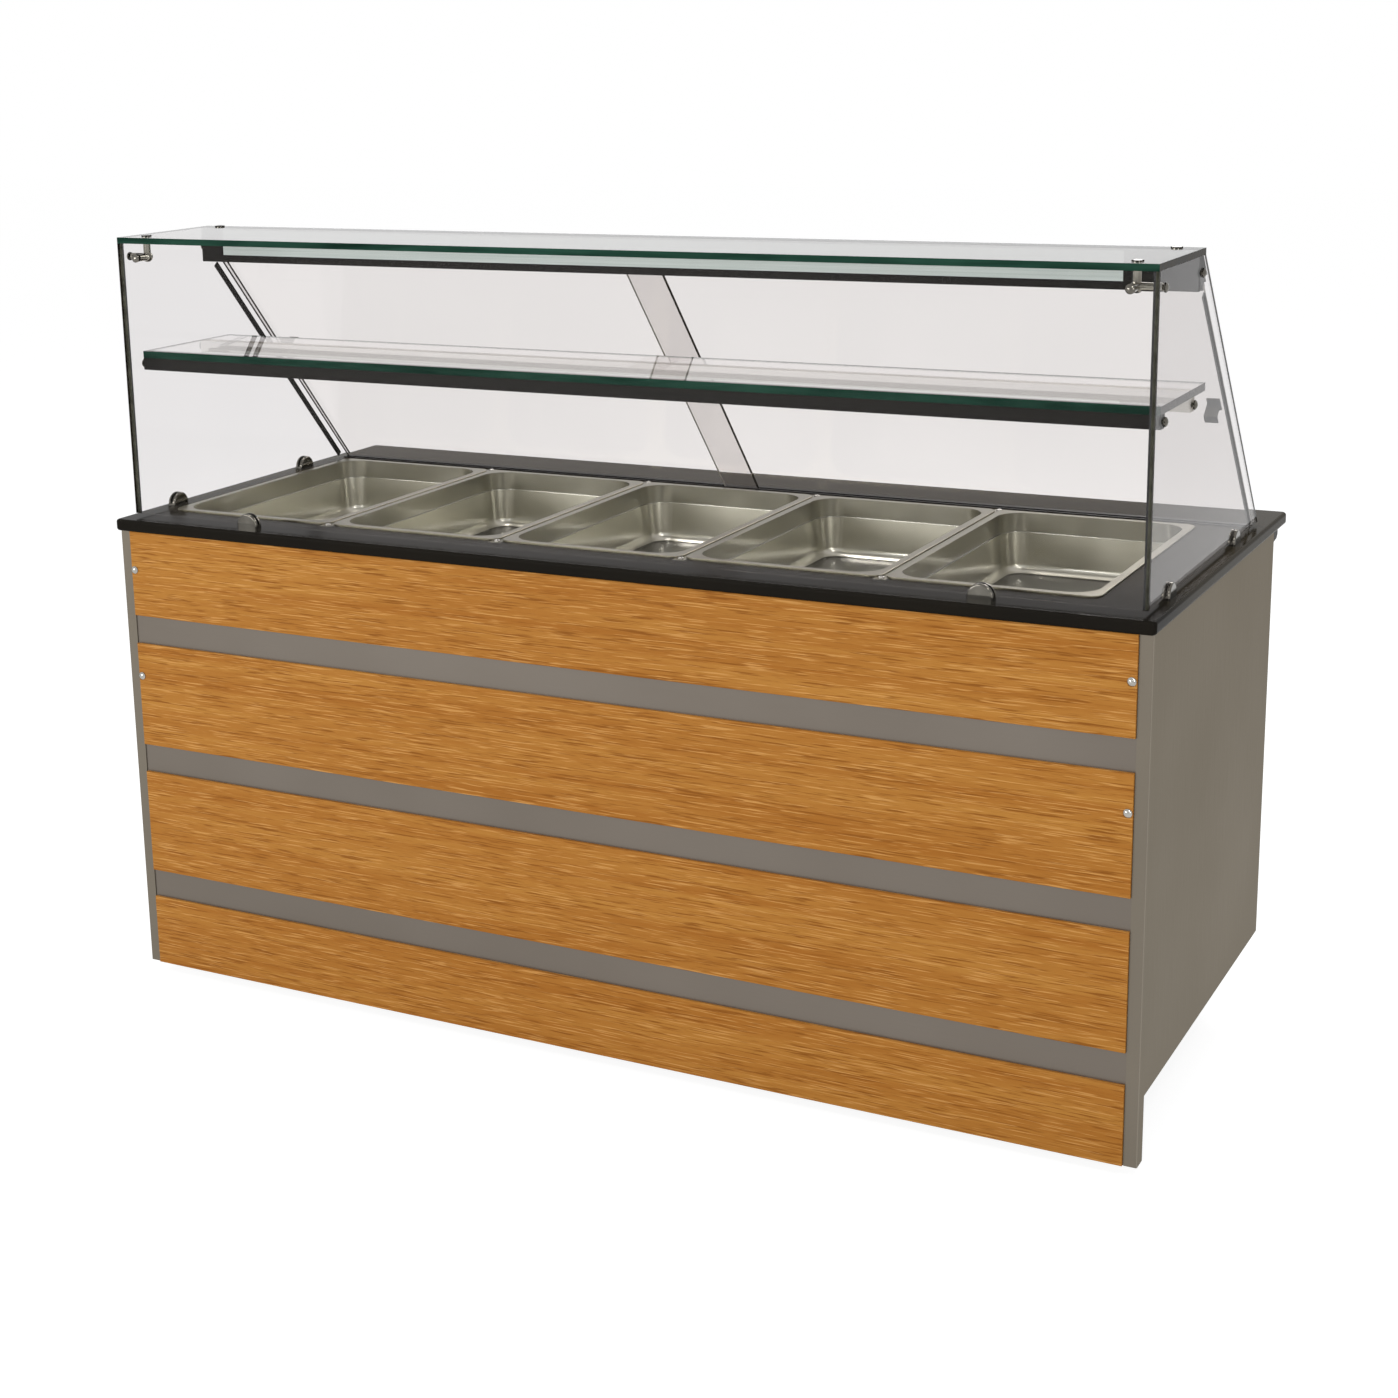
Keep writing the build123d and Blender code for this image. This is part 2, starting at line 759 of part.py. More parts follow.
# Rear header: folded channel across the back, above the cupboard and the unit space
with BuildPart() as rear_header:
    header_y = (frame_y - header_depth, frame_y)
    block((-side_in, side_in), header_y, (header_bottom, header_top))
    hollow_y = (header_y[0], frame_y - frame_sheet)
    hollow_z = (header_bottom + frame_sheet, header_top - frame_sheet)
    block((-side_in, side_in), hollow_y, hollow_z, Mode.SUBTRACT)
    for x in (service_left + panel_screw_inset, service_right - panel_screw_inset):
        start = (x, frame_y - frame_sheet, panel_top - panel_screw_inset)
        rod(start, (0, 1, 0), screw_shank_radius + hole_clearance, frame_sheet, Mode.SUBTRACT)
save(rear_header.part, "rear_header")

# Rear mullion: channel post between the cupboard and the unit space
with BuildPart() as rear_mullion:
    post_x = (mullion_x - mullion_width / 2, mullion_x + mullion_width / 2)
    block(post_x, header_y, (base_top, header_bottom))
    inner_post_x = (post_x[0] + frame_sheet, post_x[1] - frame_sheet)
    block(inner_post_x, hollow_y, (base_top, header_bottom), Mode.SUBTRACT)
save(rear_mullion.part, "rear_mullion")

# Control fascia: folded strip under the worktop's rear overhang, standing on the header
bezel_neck = (bezel_width - 2 * bezel_border, bezel_height - 2 * bezel_border)
with BuildPart() as control_fascia:
    fascia_x = (-side_in, side_in)
    block(fascia_x, (rear_y - frame_sheet, rear_y), (header_top, under_z - sheet))
    block(fascia_x, (rear_y - fascia_return, rear_y), (header_top, header_top + frame_sheet))
    start = (knob_x, module_y, control_z)
    rod(start, (0, 1, 0), thermostat_collar_radius + hole_clearance, frame_sheet, Mode.SUBTRACT)
    neck_x = bezel_neck[0] / 2 + hole_clearance
    neck_z = bezel_neck[1] / 2 + hole_clearance
    block(
        (bezel_centre_x - neck_x, bezel_centre_x + neck_x),
        (module_y, rear_y),
        (control_z - neck_z, control_z + neck_z),
        Mode.SUBTRACT,
    )
save(control_fascia.part, "control_fascia")

# Control module: moulded body behind the fascia with the switch bezel and the thermostat shaft
rocker_xs = (bezel_centre_x - rocker_pitch / 2, bezel_centre_x + rocker_pitch / 2)
bezel_y = rear_y + bezel_thickness
pivot_y = bezel_y - rocker_pivot_depth
with BuildPart() as control_module:
    module_x = (module_centre_x - module_width / 2, module_centre_x + module_width / 2)
    module_z = (control_z - module_height / 2, control_z + module_height / 2)
    block(module_x, (module_y - module_depth, module_y), module_z)
    bezel_x = (bezel_centre_x - bezel_width / 2, bezel_centre_x + bezel_width / 2)
    block(bezel_x, (rear_y, bezel_y), (control_z - bezel_height / 2, control_z + bezel_height / 2))
    chamfer(control_module.faces().sort_by(Axis.Y)[-1].edges(), bezel_thickness / 2)
    neck_span_x = (bezel_centre_x - bezel_neck[0] / 2, bezel_centre_x + bezel_neck[0] / 2)
    neck_span_z = (control_z - bezel_neck[1] / 2, control_z + bezel_neck[1] / 2)
    block(neck_span_x, (module_y, rear_y), neck_span_z)
    for x in rocker_xs:
        socket_x = rocker_width / 2 + seat_clearance
        socket_z = rocker_half_height + rocker_socket_gap
        block(
            (x - socket_x, x + socket_x),
            (bezel_y - rocker_socket_depth, bezel_y),
            (control_z - socket_z, control_z + socket_z),
            Mode.SUBTRACT,
        )
        hinge_half = rocker_width / 2 + trunnion_length + seat_clearance
        start = (x - hinge_half, pivot_y, control_z)
        rod(start, (1, 0, 0), trunnion_radius + running_clearance, 2 * hinge_half, Mode.SUBTRACT)
    rod((knob_x, module_y, control_z), (0, 1, 0), thermostat_collar_radius, frame_sheet)
    rod((knob_x, rear_y, control_z), (0, 1, 0), thermostat_shaft_radius, thermostat_shaft_length)
save(control_module.part, "control_module")

# Rockers: shallow V-faced keys on side trunnions, resting with the lower half pressed in
for label, x in (("power_switch", rocker_xs[0]), ("light_switch", rocker_xs[1])):
    tilt = math.radians(-rocker_swing)
    face = Plane(
        origin=(x - rocker_width / 2, pivot_y, control_z),
        x_dir=(0, math.cos(tilt), math.sin(tilt)),
        z_dir=(1, 0, 0),
    )
    with BuildPart() as rocker:
        with BuildSketch(face):
            with BuildLine():
                Polyline(
                    (rocker_end_depth - rocker_dip, 0),
                    (rocker_end_depth, rocker_half_height),
                    (-rocker_back_depth, rocker_back_half_height),
                    (-rocker_back_depth, -rocker_back_half_height),
                    (rocker_end_depth, -rocker_half_height),
                    close=True,
                )
            make_face()
        extrude(amount=rocker_width)
        start = (x - rocker_width / 2 - trunnion_length, pivot_y, control_z)
        rod(start, (1, 0, 0), trunnion_radius, rocker_width + 2 * trunnion_length)
    save(rocker.part, label)

# Thermostat knob: skirted, fluted grip on the thermostat shaft, with a pointer groove
with BuildPart() as thermostat_knob:
    knob_y = rear_y + knob_gap
    rod((knob_x, knob_y, control_z), (0, 1, 0), knob_radius, knob_skirt)
    rod((knob_x, knob_y, control_z), (0, 1, 0), knob_grip_radius, knob_length)
    knob_face = Plane(origin=(knob_x, knob_y + knob_skirt, control_z), x_dir=(1, 0, 0), z_dir=(0, 1, 0))
    with BuildSketch(knob_face):
        with PolarLocations(knob_grip_radius + knob_flute_radius / 2, knob_flutes):
            Circle(knob_flute_radius)
    extrude(amount=knob_length, mode=Mode.SUBTRACT)
    chamfer(thermostat_knob.faces().sort_by(Axis.Y)[-1].edges(), knob_edge)
    marker_x = (knob_x - knob_marker / 2, knob_x + knob_marker / 2)
    marker_y = (knob_y + knob_length - knob_edge, knob_y + knob_length)
    block(marker_x, marker_y, (control_z, control_z + knob_grip_radius), Mode.SUBTRACT)
    bore_radius = thermostat_shaft_radius + running_clearance
    bore_length = thermostat_shaft_length - knob_gap + seat_clearance
    rod((knob_x, knob_y, control_z), (0, 1, 0), bore_radius, bore_length, Mode.SUBTRACT)
save(thermostat_knob.part, "thermostat_knob")

# Storage doors: folded trays on pivot pins, with a bush block behind each pin
hinge_left_x = storage_left + hinge_inset
hinge_right_x = storage_right - hinge_inset
door_spans = {
    "storage_door_left": (storage_left, meeting_x - door_meeting_gap / 2, hinge_left_x),
    "storage_door_right": (meeting_x + door_meeting_gap / 2, storage_right, hinge_right_x),
}
for label, (low_x, high_x, pin_x) in door_spans.items():
    with BuildPart() as storage_door:
        block((low_x, high_x), (panel_inner_y, rear_panel_y), (panel_bottom, panel_top))
        block(
            (low_x + sheet, high_x - sheet),
            (panel_inner_y, rear_panel_y - sheet),
            (panel_bottom + sheet, panel_top - sheet),
            Mode.SUBTRACT,
        )
        bush_x = (pin_x - hinge_inset, pin_x + hinge_inset)
        bush_y = (hinge_y - hinge_inset, rear_panel_y)
        for bush_z in ((panel_bottom, panel_bottom + hinge_bush), (panel_top - hinge_bush, panel_top)):
            block(bush_x, bush_y, bush_z)
            pin_hole = hinge_pin_radius + running_clearance
            rod((pin_x, hinge_y, bush_z[0]), (0, 0, 1), pin_hole, hinge_bush, Mode.SUBTRACT)
    save(storage_door.part, label)

# Door hinges: four plates on the header and the base, each with its pivot pin
with BuildPart() as door_hinges:
    plate_y = (frame_y, rear_panel_y + hinge_plate)
    for x in (hinge_left_x, hinge_right_x):
        plate_x = (x - hinge_plate_half_width, x + hinge_plate_half_width)
        low_top = panel_bottom - seat_clearance
        block(plate_x, plate_y, (low_top - hinge_plate, low_top))
        rod((x, hinge_y, low_top), (0, 0, 1), hinge_pin_radius, hinge_pin_length)
        high_bottom = panel_top + seat_clearance
        block(plate_x, plate_y, (high_bottom, high_bottom + hinge_plate))
        rod((x, hinge_y, high_bottom), (0, 0, -1), hinge_pin_radius, hinge_pin_length)
save(door_hinges.part, "door_hinges")

# Door handles: bent round bars beside the meeting edges
handle_xs = (
    ("left_door_handle", meeting_x - handle_edge_inset),
    ("right_door_handle", meeting_x + handle_edge_inset),
)
for label, x in handle_xs:
    bar_y = rear_panel_y + handle_reach
    with BuildPart() as handle:
        with BuildLine() as bar:
            FilletPolyline(
                (x, rear_panel_y, handle_bottom),
                (x, bar_y, handle_bottom),
                (x, bar_y, handle_bottom + handle_length),
                (x, rear_panel_y, handle_bottom + handle_length),
                radius=handle_bend_radius,
            )
        with BuildSketch(Plane(origin=bar.line @ 0, z_dir=bar.line % 0)):
            Circle(handle_radius)
        sweep()
    save(handle.part, label)

# Service panel: folded tray with pressed louvres in front of the condenser, and the cable hole
with BuildPart() as service_panel:
    block((service_left, service_right), (frame_y, rear_panel_y), (panel_bottom, panel_top))
    block(
        (service_left + sheet, service_right - sheet),
        (frame_y, rear_panel_y - sheet),
        (panel_bottom + sheet, panel_top - sheet),
        Mode.SUBTRACT,
    )
    louvre_x = service_left + louvre_end_inset
    louvre_length = service_right - service_left - 2 * louvre_end_inset
    for row in range(louvre_count):
        z = base_top + louvre_rise + row * louvre_pitch
        with BuildSketch(Plane.YZ.offset(louvre_x)):
            with BuildLine():
                Polyline(
                    (rear_panel_y, z + louvre_height),
                    (rear_panel_y + louvre_reach, z),
                    (rear_panel_y + louvre_reach - sheet, z),
                    (rear_panel_y - sheet, z + louvre_height - sheet),
                    (rear_panel_y - sheet, z + louvre_height),
                    close=True,
                )
            make_face()
        extrude(amount=louvre_length)
        slot_x = (louvre_x + sheet, louvre_x + louvre_length - sheet)
        block(slot_x, (rear_panel_y - sheet, rear_panel_y), (z, z + louvre_slot), Mode.SUBTRACT)
    for x in (service_left + panel_screw_inset, service_right - panel_screw_inset):
        for z in (panel_bottom + panel_screw_inset, panel_top - panel_screw_inset):
            start = (x, rear_panel_y - sheet, z)
            rod(start, (0, 1, 0), screw_shank_radius + hole_clearance, sheet, Mode.SUBTRACT)
    start = (gland_x, rear_panel_y - sheet, gland_z)
    rod(start, (0, 1, 0), gland_thread_radius + hole_clearance, sheet, Mode.SUBTRACT)
save(service_panel.part, "service_panel")

# Panel screws: dome heads on the upper front boards and at the service panel's corners
with BuildPart() as panel_screws:
    head = (screw_head_radius, screw_head_rim, screw_head_height, screw_shank_radius)
    for x in (-screw_x, screw_x):
        for z in screw_heights:
            front_shank = board_thickness + sheet + screw_bite
            dome_fastener((x, board_face_y, z), (0, -1, 0), (1, 0, 0), *head, front_shank)
    for x in (service_left + panel_screw_inset, service_right - panel_screw_inset):
        for z in (panel_bottom + panel_screw_inset, panel_top - panel_screw_inset):
            rear_shank = rear_panel_y - frame_y + screw_bite
            dome_fastener((x, rear_panel_y, z), (0, 1, 0), (1, 0, 0), *head, rear_shank)
save(panel_screws.part, "panel_screws")

# Cable gland: hexagon body, dome cap and inner nut with a clear bore for the mains lead
with BuildPart() as cable_gland:
    gland_back = rear_panel_y - sheet
    rod((gland_x, gland_back - gland_nut_height, gland_z), (0, 1, 0), gland_nut_radius, gland_nut_height)
    rod((gland_x, gland_back, gland_z), (0, 1, 0), gland_thread_radius, sheet)
    hexagon = Plane(origin=(gland_x, rear_panel_y, gland_z), x_dir=(1, 0, 0), z_dir=(0, 1, 0))
    with BuildSketch(hexagon):
        RegularPolygon(gland_body_radius, 6)
    extrude(amount=gland_body_height)
    cap_y = rear_panel_y + gland_body_height
    rod((gland_x, cap_y, gland_z), (0, 1, 0), gland_cap_radius, gland_cap_height)
    chamfer(cable_gland.faces().sort_by(Axis.Y)[-1].edges(), gland_cap_chamfer)
    gland_length = gland_nut_height + sheet + gland_body_height + gland_cap_height
    start = (gland_x, gland_back - gland_nut_height, gland_z)
    rod(start, (0, 1, 0), gland_bore_radius, gland_length, Mode.SUBTRACT)
save(cable_gland.part, "cable_gland")

# Glass clamps: half-round chrome buttons on the worktop, slotted for the panes
clamp_slot = pane / 2 + clamp_slot_clearance
clamp_straight = clamp_height - clamp_radius
front_clamp_y = pane_front + pane / 2
side_clamp_x = pane_side - pane / 2
clamp_planes = [
    Plane(origin=(x, front_clamp_y, worktop_height), x_dir=(1, 0, 0), z_dir=(0, -1, 0))
    for x in (front_clamp_inset - pane_side, pane_side - front_clamp_inset)
] + [
    Plane(origin=(x, y, worktop_height), x_dir=(0, 1, 0), z_dir=(1, 0, 0))
    for x in (-side_clamp_x, side_clamp_x)
    for y in [pane_front + inset for inset in side_clamp_insets]
]
with BuildPart() as glass_clamps:
    for plane in clamp_planes:
        with BuildSketch(plane):
            with BuildLine():
                Polyline(
                    (-clamp_radius, clamp_straight),
                    (-clamp_radius, 0),
                    (clamp_radius, 0),
                    (clamp_radius, clamp_straight),
                )
                ThreePointArc(
                    (-clamp_radius, clamp_straight),
                    (0, clamp_height),
                    (clamp_radius, clamp_straight),
                )
            make_face()
        extrude(amount=clamp_thickness / 2, both=True)
    fillet(glass_clamps.edges().filter_by(GeomType.CIRCLE), clamp_round)
    for plane in clamp_planes:
        with BuildSketch(plane.offset(-clamp_slot)):
            with Locations((0, pane_lift + clamp_height / 2)):
                Rectangle(2 * clamp_radius, clamp_height)
        extrude(amount=2 * clamp_slot, mode=Mode.SUBTRACT)
save(glass_clamps.part, "glass_clamps")

# Cap bolt seats: on the front, side and top glass, each with its outward direction
cap_seats = []
for side in (-1, 1):
    outward = (side, 0, 0)
    cap_seats += [
        ((side * connector_x, pane_front, connector_z), (0, -1, 0), pane),
        ((side * pane_side, connector_y, connector_z), outward, pane),
        ((side * connector_x, connector_y, canopy_height), (0, 0, 1), top_pane),
        ((side * pane_side, light_bolt_y, pane_top - light_bolt_drop), outward, pane),
        ((side * connector_x, light_bolt_y, canopy_height), (0, 0, 1), top_pane),
    ]
    for y in rail_ys:
        cap_seats.append(((side * pane_side, y, rail_bottom + shelf_rail / 2), outward, pane))


def bolt_holes(outward, radius, depth):
    """Cut the cap bolts' holes for one outward direction, from each seat inwards."""
    for seat, direction, _ in cap_seats:
        if direction == outward:
            inward = tuple(-component for component in direction)
            rod(seat, inward, radius, depth, Mode.SUBTRACT)


glass_hole = bolt_shank_radius + glass_hole_clearance
thread_hole = bolt_shank_radius + thread_clearance

# Front glass: full-width pane in front of the side panes
with BuildPart() as front_glass:
    block((-pane_side, pane_side), (pane_front, pane_front_in), (pane_bottom, pane_top))
    bolt_holes((0, -1, 0), glass_hole, pane)
save(front_glass.part, "front_glass")

# Side glass: upright front edge and a slanted rear edge
for label, side in (("left_side_glass", -1), ("right_side_glass", 1)):
    with BuildPart() as side_glass:
        with BuildSketch(Plane.YZ.offset(side * pane_side)):
            with BuildLine():
                Polyline(
                    (pane_front_in, pane_bottom),
                    (pane_front_in, pane_top),
                    (canopy_rear_y, pane_top),
                    (side_pane_foot_y, pane_bottom),
                    close=True,
                )
            make_face()
        extrude(amount=-side * pane)
        bolt_holes((side, 0, 0), glass_hole, pane)
    save(side_glass.part, label)

# Top glass: flat shelf on the top edges of the front and side panes
with BuildPart() as top_glass:
    block((-pane_side, pane_side), (pane_front, canopy_rear_y), (pane_top, canopy_height))
    bolt_holes((0, 0, 1), glass_hole, top_pane)
save(top_glass.part, "top_glass")

# Mid shelf glass, lying on its two rails
shelf_half = pane_side_in - shelf_end_gap
with BuildPart() as shelf_glass:
    shelf_y = (shelf_front_y, shelf_front_y + shelf_depth)
    block((-shelf_half, shelf_half), shelf_y, (rail_top, shelf_top))
    chamfer(shelf_glass.edges().filter_by(Axis.X), shelf_edge)
save(shelf_glass.part, "shelf_glass")

# Shelf rails: folded channels with closed ends bolted through the side glass
with BuildPart() as shelf_rails:
    for y in rail_ys:
        rail_y = (y - shelf_rail / 2, y + shelf_rail / 2)
        block((-pane_side_in, pane_side_in), rail_y, (rail_bottom, rail_top))
        inside_x = pane_side_in - shelf_rail_end
        inside_y = (rail_y[0] + sheet, rail_y[1] - sheet)
        block((-inside_x, inside_x), inside_y, (rail_bottom, rail_top - sheet), Mode.SUBTRACT)
    for side in (-1, 1):
        bolt_holes((side, 0, 0), thread_hole, pane + bolt_hole_depth)
save(shelf_rails.part, "shelf_rails")

# Corner connectors: round hubs with arms to the front glass, the side glass and the top glass
with BuildPart() as corner_connectors:
    for side in (-1, 1):
        hub = (side * connector_x, connector_y, connector_z)
        with Locations(hub):
            Sphere(connector_hub_radius)
        rod(hub, (0, -1, 0), connector_arm_radius, connector_y - pane_front_in)
        rod(hub, (side, 0, 0), connector_arm_radius, pane_side_in - connector_x)
        rod(hub, (0, 0, 1), connector_arm_radius, pane_top - connector_z)
    bolt_holes((0, -1, 0), thread_hole, pane + bolt_hole_depth)
    bolt_holes((0, 0, 1), thread_hole, top_pane + bolt_hole_depth)
    for side in (-1, 1):
        bolt_holes((side, 0, 0), thread_hole, pane + bolt_hole_depth)
save(corner_connectors.part, "corner_connectors")

# Light housing: closed box with a slanted back, and a front leg whose window takes the diffuser
window_top = pane_top - light_window_drop
window_z = (window_top - light_window_height, window_top)
window_x = (light_window_left - pane_side_in, pane_side_in - light_window_right)
light_rear_bottom = light_rear_top + light_box_height * side_slope
with BuildPart() as light_housing:
    with BuildSketch(Plane.YZ.offset(-pane_side_in)) as light_section:
        with BuildLine():
            Polyline(
                (light_front_y, light_bottom),
                (light_front_y, pane_top),
                (light_rear_top, pane_top),
                (light_rear_bottom, light_box_bottom),
                (light_leg_y, light_box_bottom),
                (light_leg_y, light_bottom),
                close=True,
            )
        make_face()
    extrude(amount=2 * pane_side_in)
    with BuildSketch(Plane.YZ.offset(-pane_side_in + light_end_wall)):
        add(light_section.sketch_local)
        offset(amount=-light_wall, kind=Kind.INTERSECTION, mode=Mode.REPLACE)
    extrude(amount=2 * (pane_side_in - light_end_wall), mode=Mode.SUBTRACT)
    block(window_x, (light_front_y, light_front_y + light_wall), window_z, Mode.SUBTRACT)
    bolt_holes((0, 0, 1), thread_hole, top_pane + bolt_hole_depth)
    for side in (-1, 1):
        bolt_holes((side, 0, 0), thread_hole, pane + bolt_hole_depth)
save(light_housing.part, "light_housing")

# Diffuser: pale strip behind the window wall, raised through the window
with BuildPart() as light_diffuser:
    diffuser_y = light_front_y + light_wall
    block(
        (window_x[0] - light_lip, window_x[1] + light_lip),
        (diffuser_y, diffuser_y + diffuser_thickness),
        (window_z[0] - light_lip, window_top + light_window_drop - light_wall),
    )
    block(
        (window_x[0] + hole_clearance, window_x[1] - hole_clearance),
        (light_front_y, diffuser_y),
        (window_z[0] + hole_clearance, window_z[1] - hole_clearance),
    )
save(light_diffuser.part, "light_diffuser")

# LED strip on the roof of the housing, behind the diffuser
with BuildPart() as led_strip:
    led_y = diffuser_y + diffuser_thickness + seat_clearance
    led_top = pane_top - light_wall
    block(window_x, (led_y, led_y + led_width), (led_top - led_height, led_top))
save(led_strip.part, "led_strip")

# Cap bolts: domed caps outside the upright glass and flat discs on the top glass
with BuildPart() as cap_bolts:
    dome_cap = (bolt_cap_radius, bolt_cap_rim, bolt_cap_height)
    disc_cap = (bolt_disc_radius, bolt_disc_rim, bolt_disc_height)
    for seat, outward, thickness in cap_seats:
        across = (0, 1, 0) if outward[1] == 0 else (1, 0, 0)
        cap = disc_cap if outward == (0, 0, 1) else dome_cap
        dome_fastener(seat, outward, across, *cap, bolt_shank_radius, thickness + bolt_grip)
save(cap_bolts.part, "cap_bolts")

# Glass doors: the right one runs in the inner groove and the left one in the outer groove
glass_doors = {
    "glass_door_left": (-door_half, door_overlap / 2 - door_meeting_left, outer_out),
    "glass_door_right": (-door_overlap / 2 - door_meeting_left, door_half, inner_out),
}
for label, (low_x, high_x, out) in glass_doors.items():
    foot_run = run_at(groove_floor + seat_clearance, out[0])
    with BuildPart() as glass_door:
        with BuildSketch(Plane.YZ.offset(low_x)):
            with BuildLine():
                Polyline(*slant_band((foot_run, door_top_run), out), close=True)
            make_face()
        extrude(amount=high_x - low_x)
    save(glass_door.part, label)


def cut_groove(corners):
    """Cut one door groove of this section along a track."""
    with BuildSketch(Plane.YZ.offset(-door_half)) as section:
        with BuildLine():
            Polyline(*corners, close=True)
        make_face()
    extrude(section.sketch, amount=2 * door_half, mode=Mode.SUBTRACT)


# Door tracks: a low bar let into the worktop behind the pans, and a head under the light housing's box
crown_y = along_slant(crown_run, track_out[1])[0]
flange_y = light_leg_y + track_leg_gap
with BuildPart() as door_tracks:
    block((-door_half, door_half), track_y, track_z)
    with BuildSketch(Plane.YZ.offset(-door_half)):
        with BuildLine():
            Polyline(
                along_slant(mouth_run, track_out[0]),
                along_slant(mouth_run, track_out[1]),
                along_slant(crown_run, track_out[1]),
                (crown_y, light_box_bottom),
                (flange_y, light_box_bottom),
                (flange_y, light_box_bottom - track_flange_height),
                along_slant(crown_run, track_out[0]),
                close=True,
            )
        make_face()
    extrude(amount=2 * door_half)
    for out in (inner_out, outer_out):
        near, far = out[0] - door_run_clearance, out[1] + door_run_clearance
        mouth_z = track_z[1] + track_grip
        floor_corners = [level_point(groove_floor, near), level_point(groove_floor, far)]
        cut_groove(floor_corners + [level_point(mouth_z, far), level_point(mouth_z, near)])
        cut_groove(slant_band((mouth_run - track_grip, roof_run), (near, far)))
save(door_tracks.part, "door_tracks")

# Door jambs: slim slanted strips on the side glass, just in front of the doors
jamb_out = (inner_out[0] - jamb_gap - jamb_depth, inner_out[0] - jamb_gap)
jamb_runs = (run_at(track_z[1] + jamb_end_gap, jamb_out[0]), mouth_run - jamb_end_gap)
with BuildPart() as door_jambs:
    for side in (-1, 1):
        with BuildSketch(Plane.YZ.offset(side * pane_side_in)):
            with BuildLine():
                Polyline(*slant_band(jamb_runs, jamb_out), close=True)
            make_face()
        extrude(amount=-side * jamb_width)
save(door_jambs.part, "door_jambs")

# Door pulls: a plate on each pane's free face with a finger tab standing off it
pull_low, pull_high = pull_run - pull_length / 2, pull_run + pull_length / 2
pulls = {
    "left_door_pull": (-door_half + pull_edge_inset, outer_out[1], 1),
    "right_door_pull": (door_half - pull_edge_inset - pull_width, inner_out[0], -1),
}
for label, (low_x, face_out, away) in pulls.items():
    plate_out = sorted((face_out, face_out + away * pull_plate))
    tab_out = sorted((face_out, face_out + away * pull_reach))
    tip_out = sorted((face_out + away * (pull_reach - pull_plate), face_out + away * pull_reach))
    with BuildPart() as pull:
        for run, out in (
            ((pull_low, pull_high), plate_out),
            ((pull_run, pull_run + pull_plate), tab_out),
            ((pull_low, pull_run + pull_plate), tip_out),
        ):
            with BuildSketch(Plane.YZ.offset(low_x)):
                with BuildLine():
                    Polyline(*slant_band(run, out), close=True)
                make_face()
            extrude(amount=pull_width)
    save(pull.part, label)

# Compressor: turned can with coned ends on a foot plate, with suction and discharge stubs
with BuildPart() as compressor:
    can_bottom = base_top + compressor_foot_height
    can_top = can_bottom + compressor_height
    crown_radius = compressor_radius - compressor_dome
    with BuildSketch(Plane(origin=(compressor_x, compressor_y, 0), x_dir=(1, 0, 0), z_dir=(0, -1, 0))):
        with BuildLine():
            Polyline(
                (0, can_bottom),
                (crown_radius, can_bottom),
                (compressor_radius - compressor_crown, can_bottom + compressor_crown),
                (compressor_radius, can_bottom + compressor_dome),
                (compressor_radius, can_top - compressor_dome),
                (compressor_radius - compressor_crown, can_top - compressor_crown),
                (crown_radius, can_top),
                (0, can_top),
                close=True,
            )
        make_face()
    revolve(axis=Axis((compressor_x, compressor_y, 0), (0, 0, 1)))
    foot_x = (compressor_x - compressor_foot_width / 2, compressor_x + compressor_foot_width / 2)
    foot_y = (compressor_y - compressor_foot_depth / 2, compressor_y + compressor_foot_depth / 2)
    block(foot_x, foot_y, (base_top, can_bottom))
    suction = (compressor_x, compressor_y, suction_stub_z)
    rod(suction, (0, -1, 0), stub_radius, compressor_radius + stub_length)
    discharge = (compressor_x, compressor_y, discharge_stub_z)
    rod(discharge, (1, 0, 0), stub_radius, compressor_radius + stub_length)
save(compressor.part, "compressor")

# Condenser: framed block with upright fin grooves on both faces
condenser_rear_y = condenser_front_y + condenser_depth
condenser_edge = condenser_width / 2
with BuildPart() as condenser:
    block(
        (condenser_x - condenser_edge, condenser_x + condenser_edge),
        (condenser_front_y, condenser_rear_y),
        (base_top, base_top + condenser_height),
    )
    fin_pitch = (condenser_width - 2 * condenser_frame) / condenser_fin_count
    fin_face = Plane(
        origin=(condenser_x, condenser_rear_y, fan_z), x_dir=(1, 0, 0), z_dir=(0, 1, 0)
    )
    with BuildSketch(fin_face):
        with GridLocations(fin_pitch, 0, condenser_fin_count, 1):
            Rectangle(condenser_fin_groove, condenser_height - 2 * condenser_frame)
    extrude(amount=-(condenser_depth - condenser_frame), mode=Mode.SUBTRACT)
save(condenser.part, "condenser")

# Fan shroud: plate and collar on the condenser, with three arms out to the motor seat
motor_seat_y = condenser_front_y - shroud_depth
shroud_radius = fan_blade_reach + fan_tip_clearance
fan_centre = (condenser_x, condenser_front_y, fan_z)
shroud_face = Plane(origin=fan_centre, x_dir=(1, 0, 0), z_dir=(0, -1, 0))
with BuildPart() as fan_shroud:
    with BuildSketch(shroud_face):
        Rectangle(condenser_width, condenser_height)
        Circle(shroud_radius, mode=Mode.SUBTRACT)
    extrude(amount=shroud_sheet)
    with BuildSketch(shroud_face):
        Circle(shroud_radius + shroud_sheet)
        Circle(shroud_radius, mode=Mode.SUBTRACT)
    extrude(amount=shroud_depth)
    with BuildSketch(shroud_face.offset(shroud_depth)):
        with PolarLocations(shroud_radius / 2, shroud_arm_count):
            Rectangle(shroud_radius + 2 * shroud_sheet, shroud_arm_width)
        Circle(motor_radius)
        Circle(fan_hub_radius, mode=Mode.SUBTRACT)
    extrude(amount=motor_seat_height)
save(fan_shroud.part, "fan_shroud")

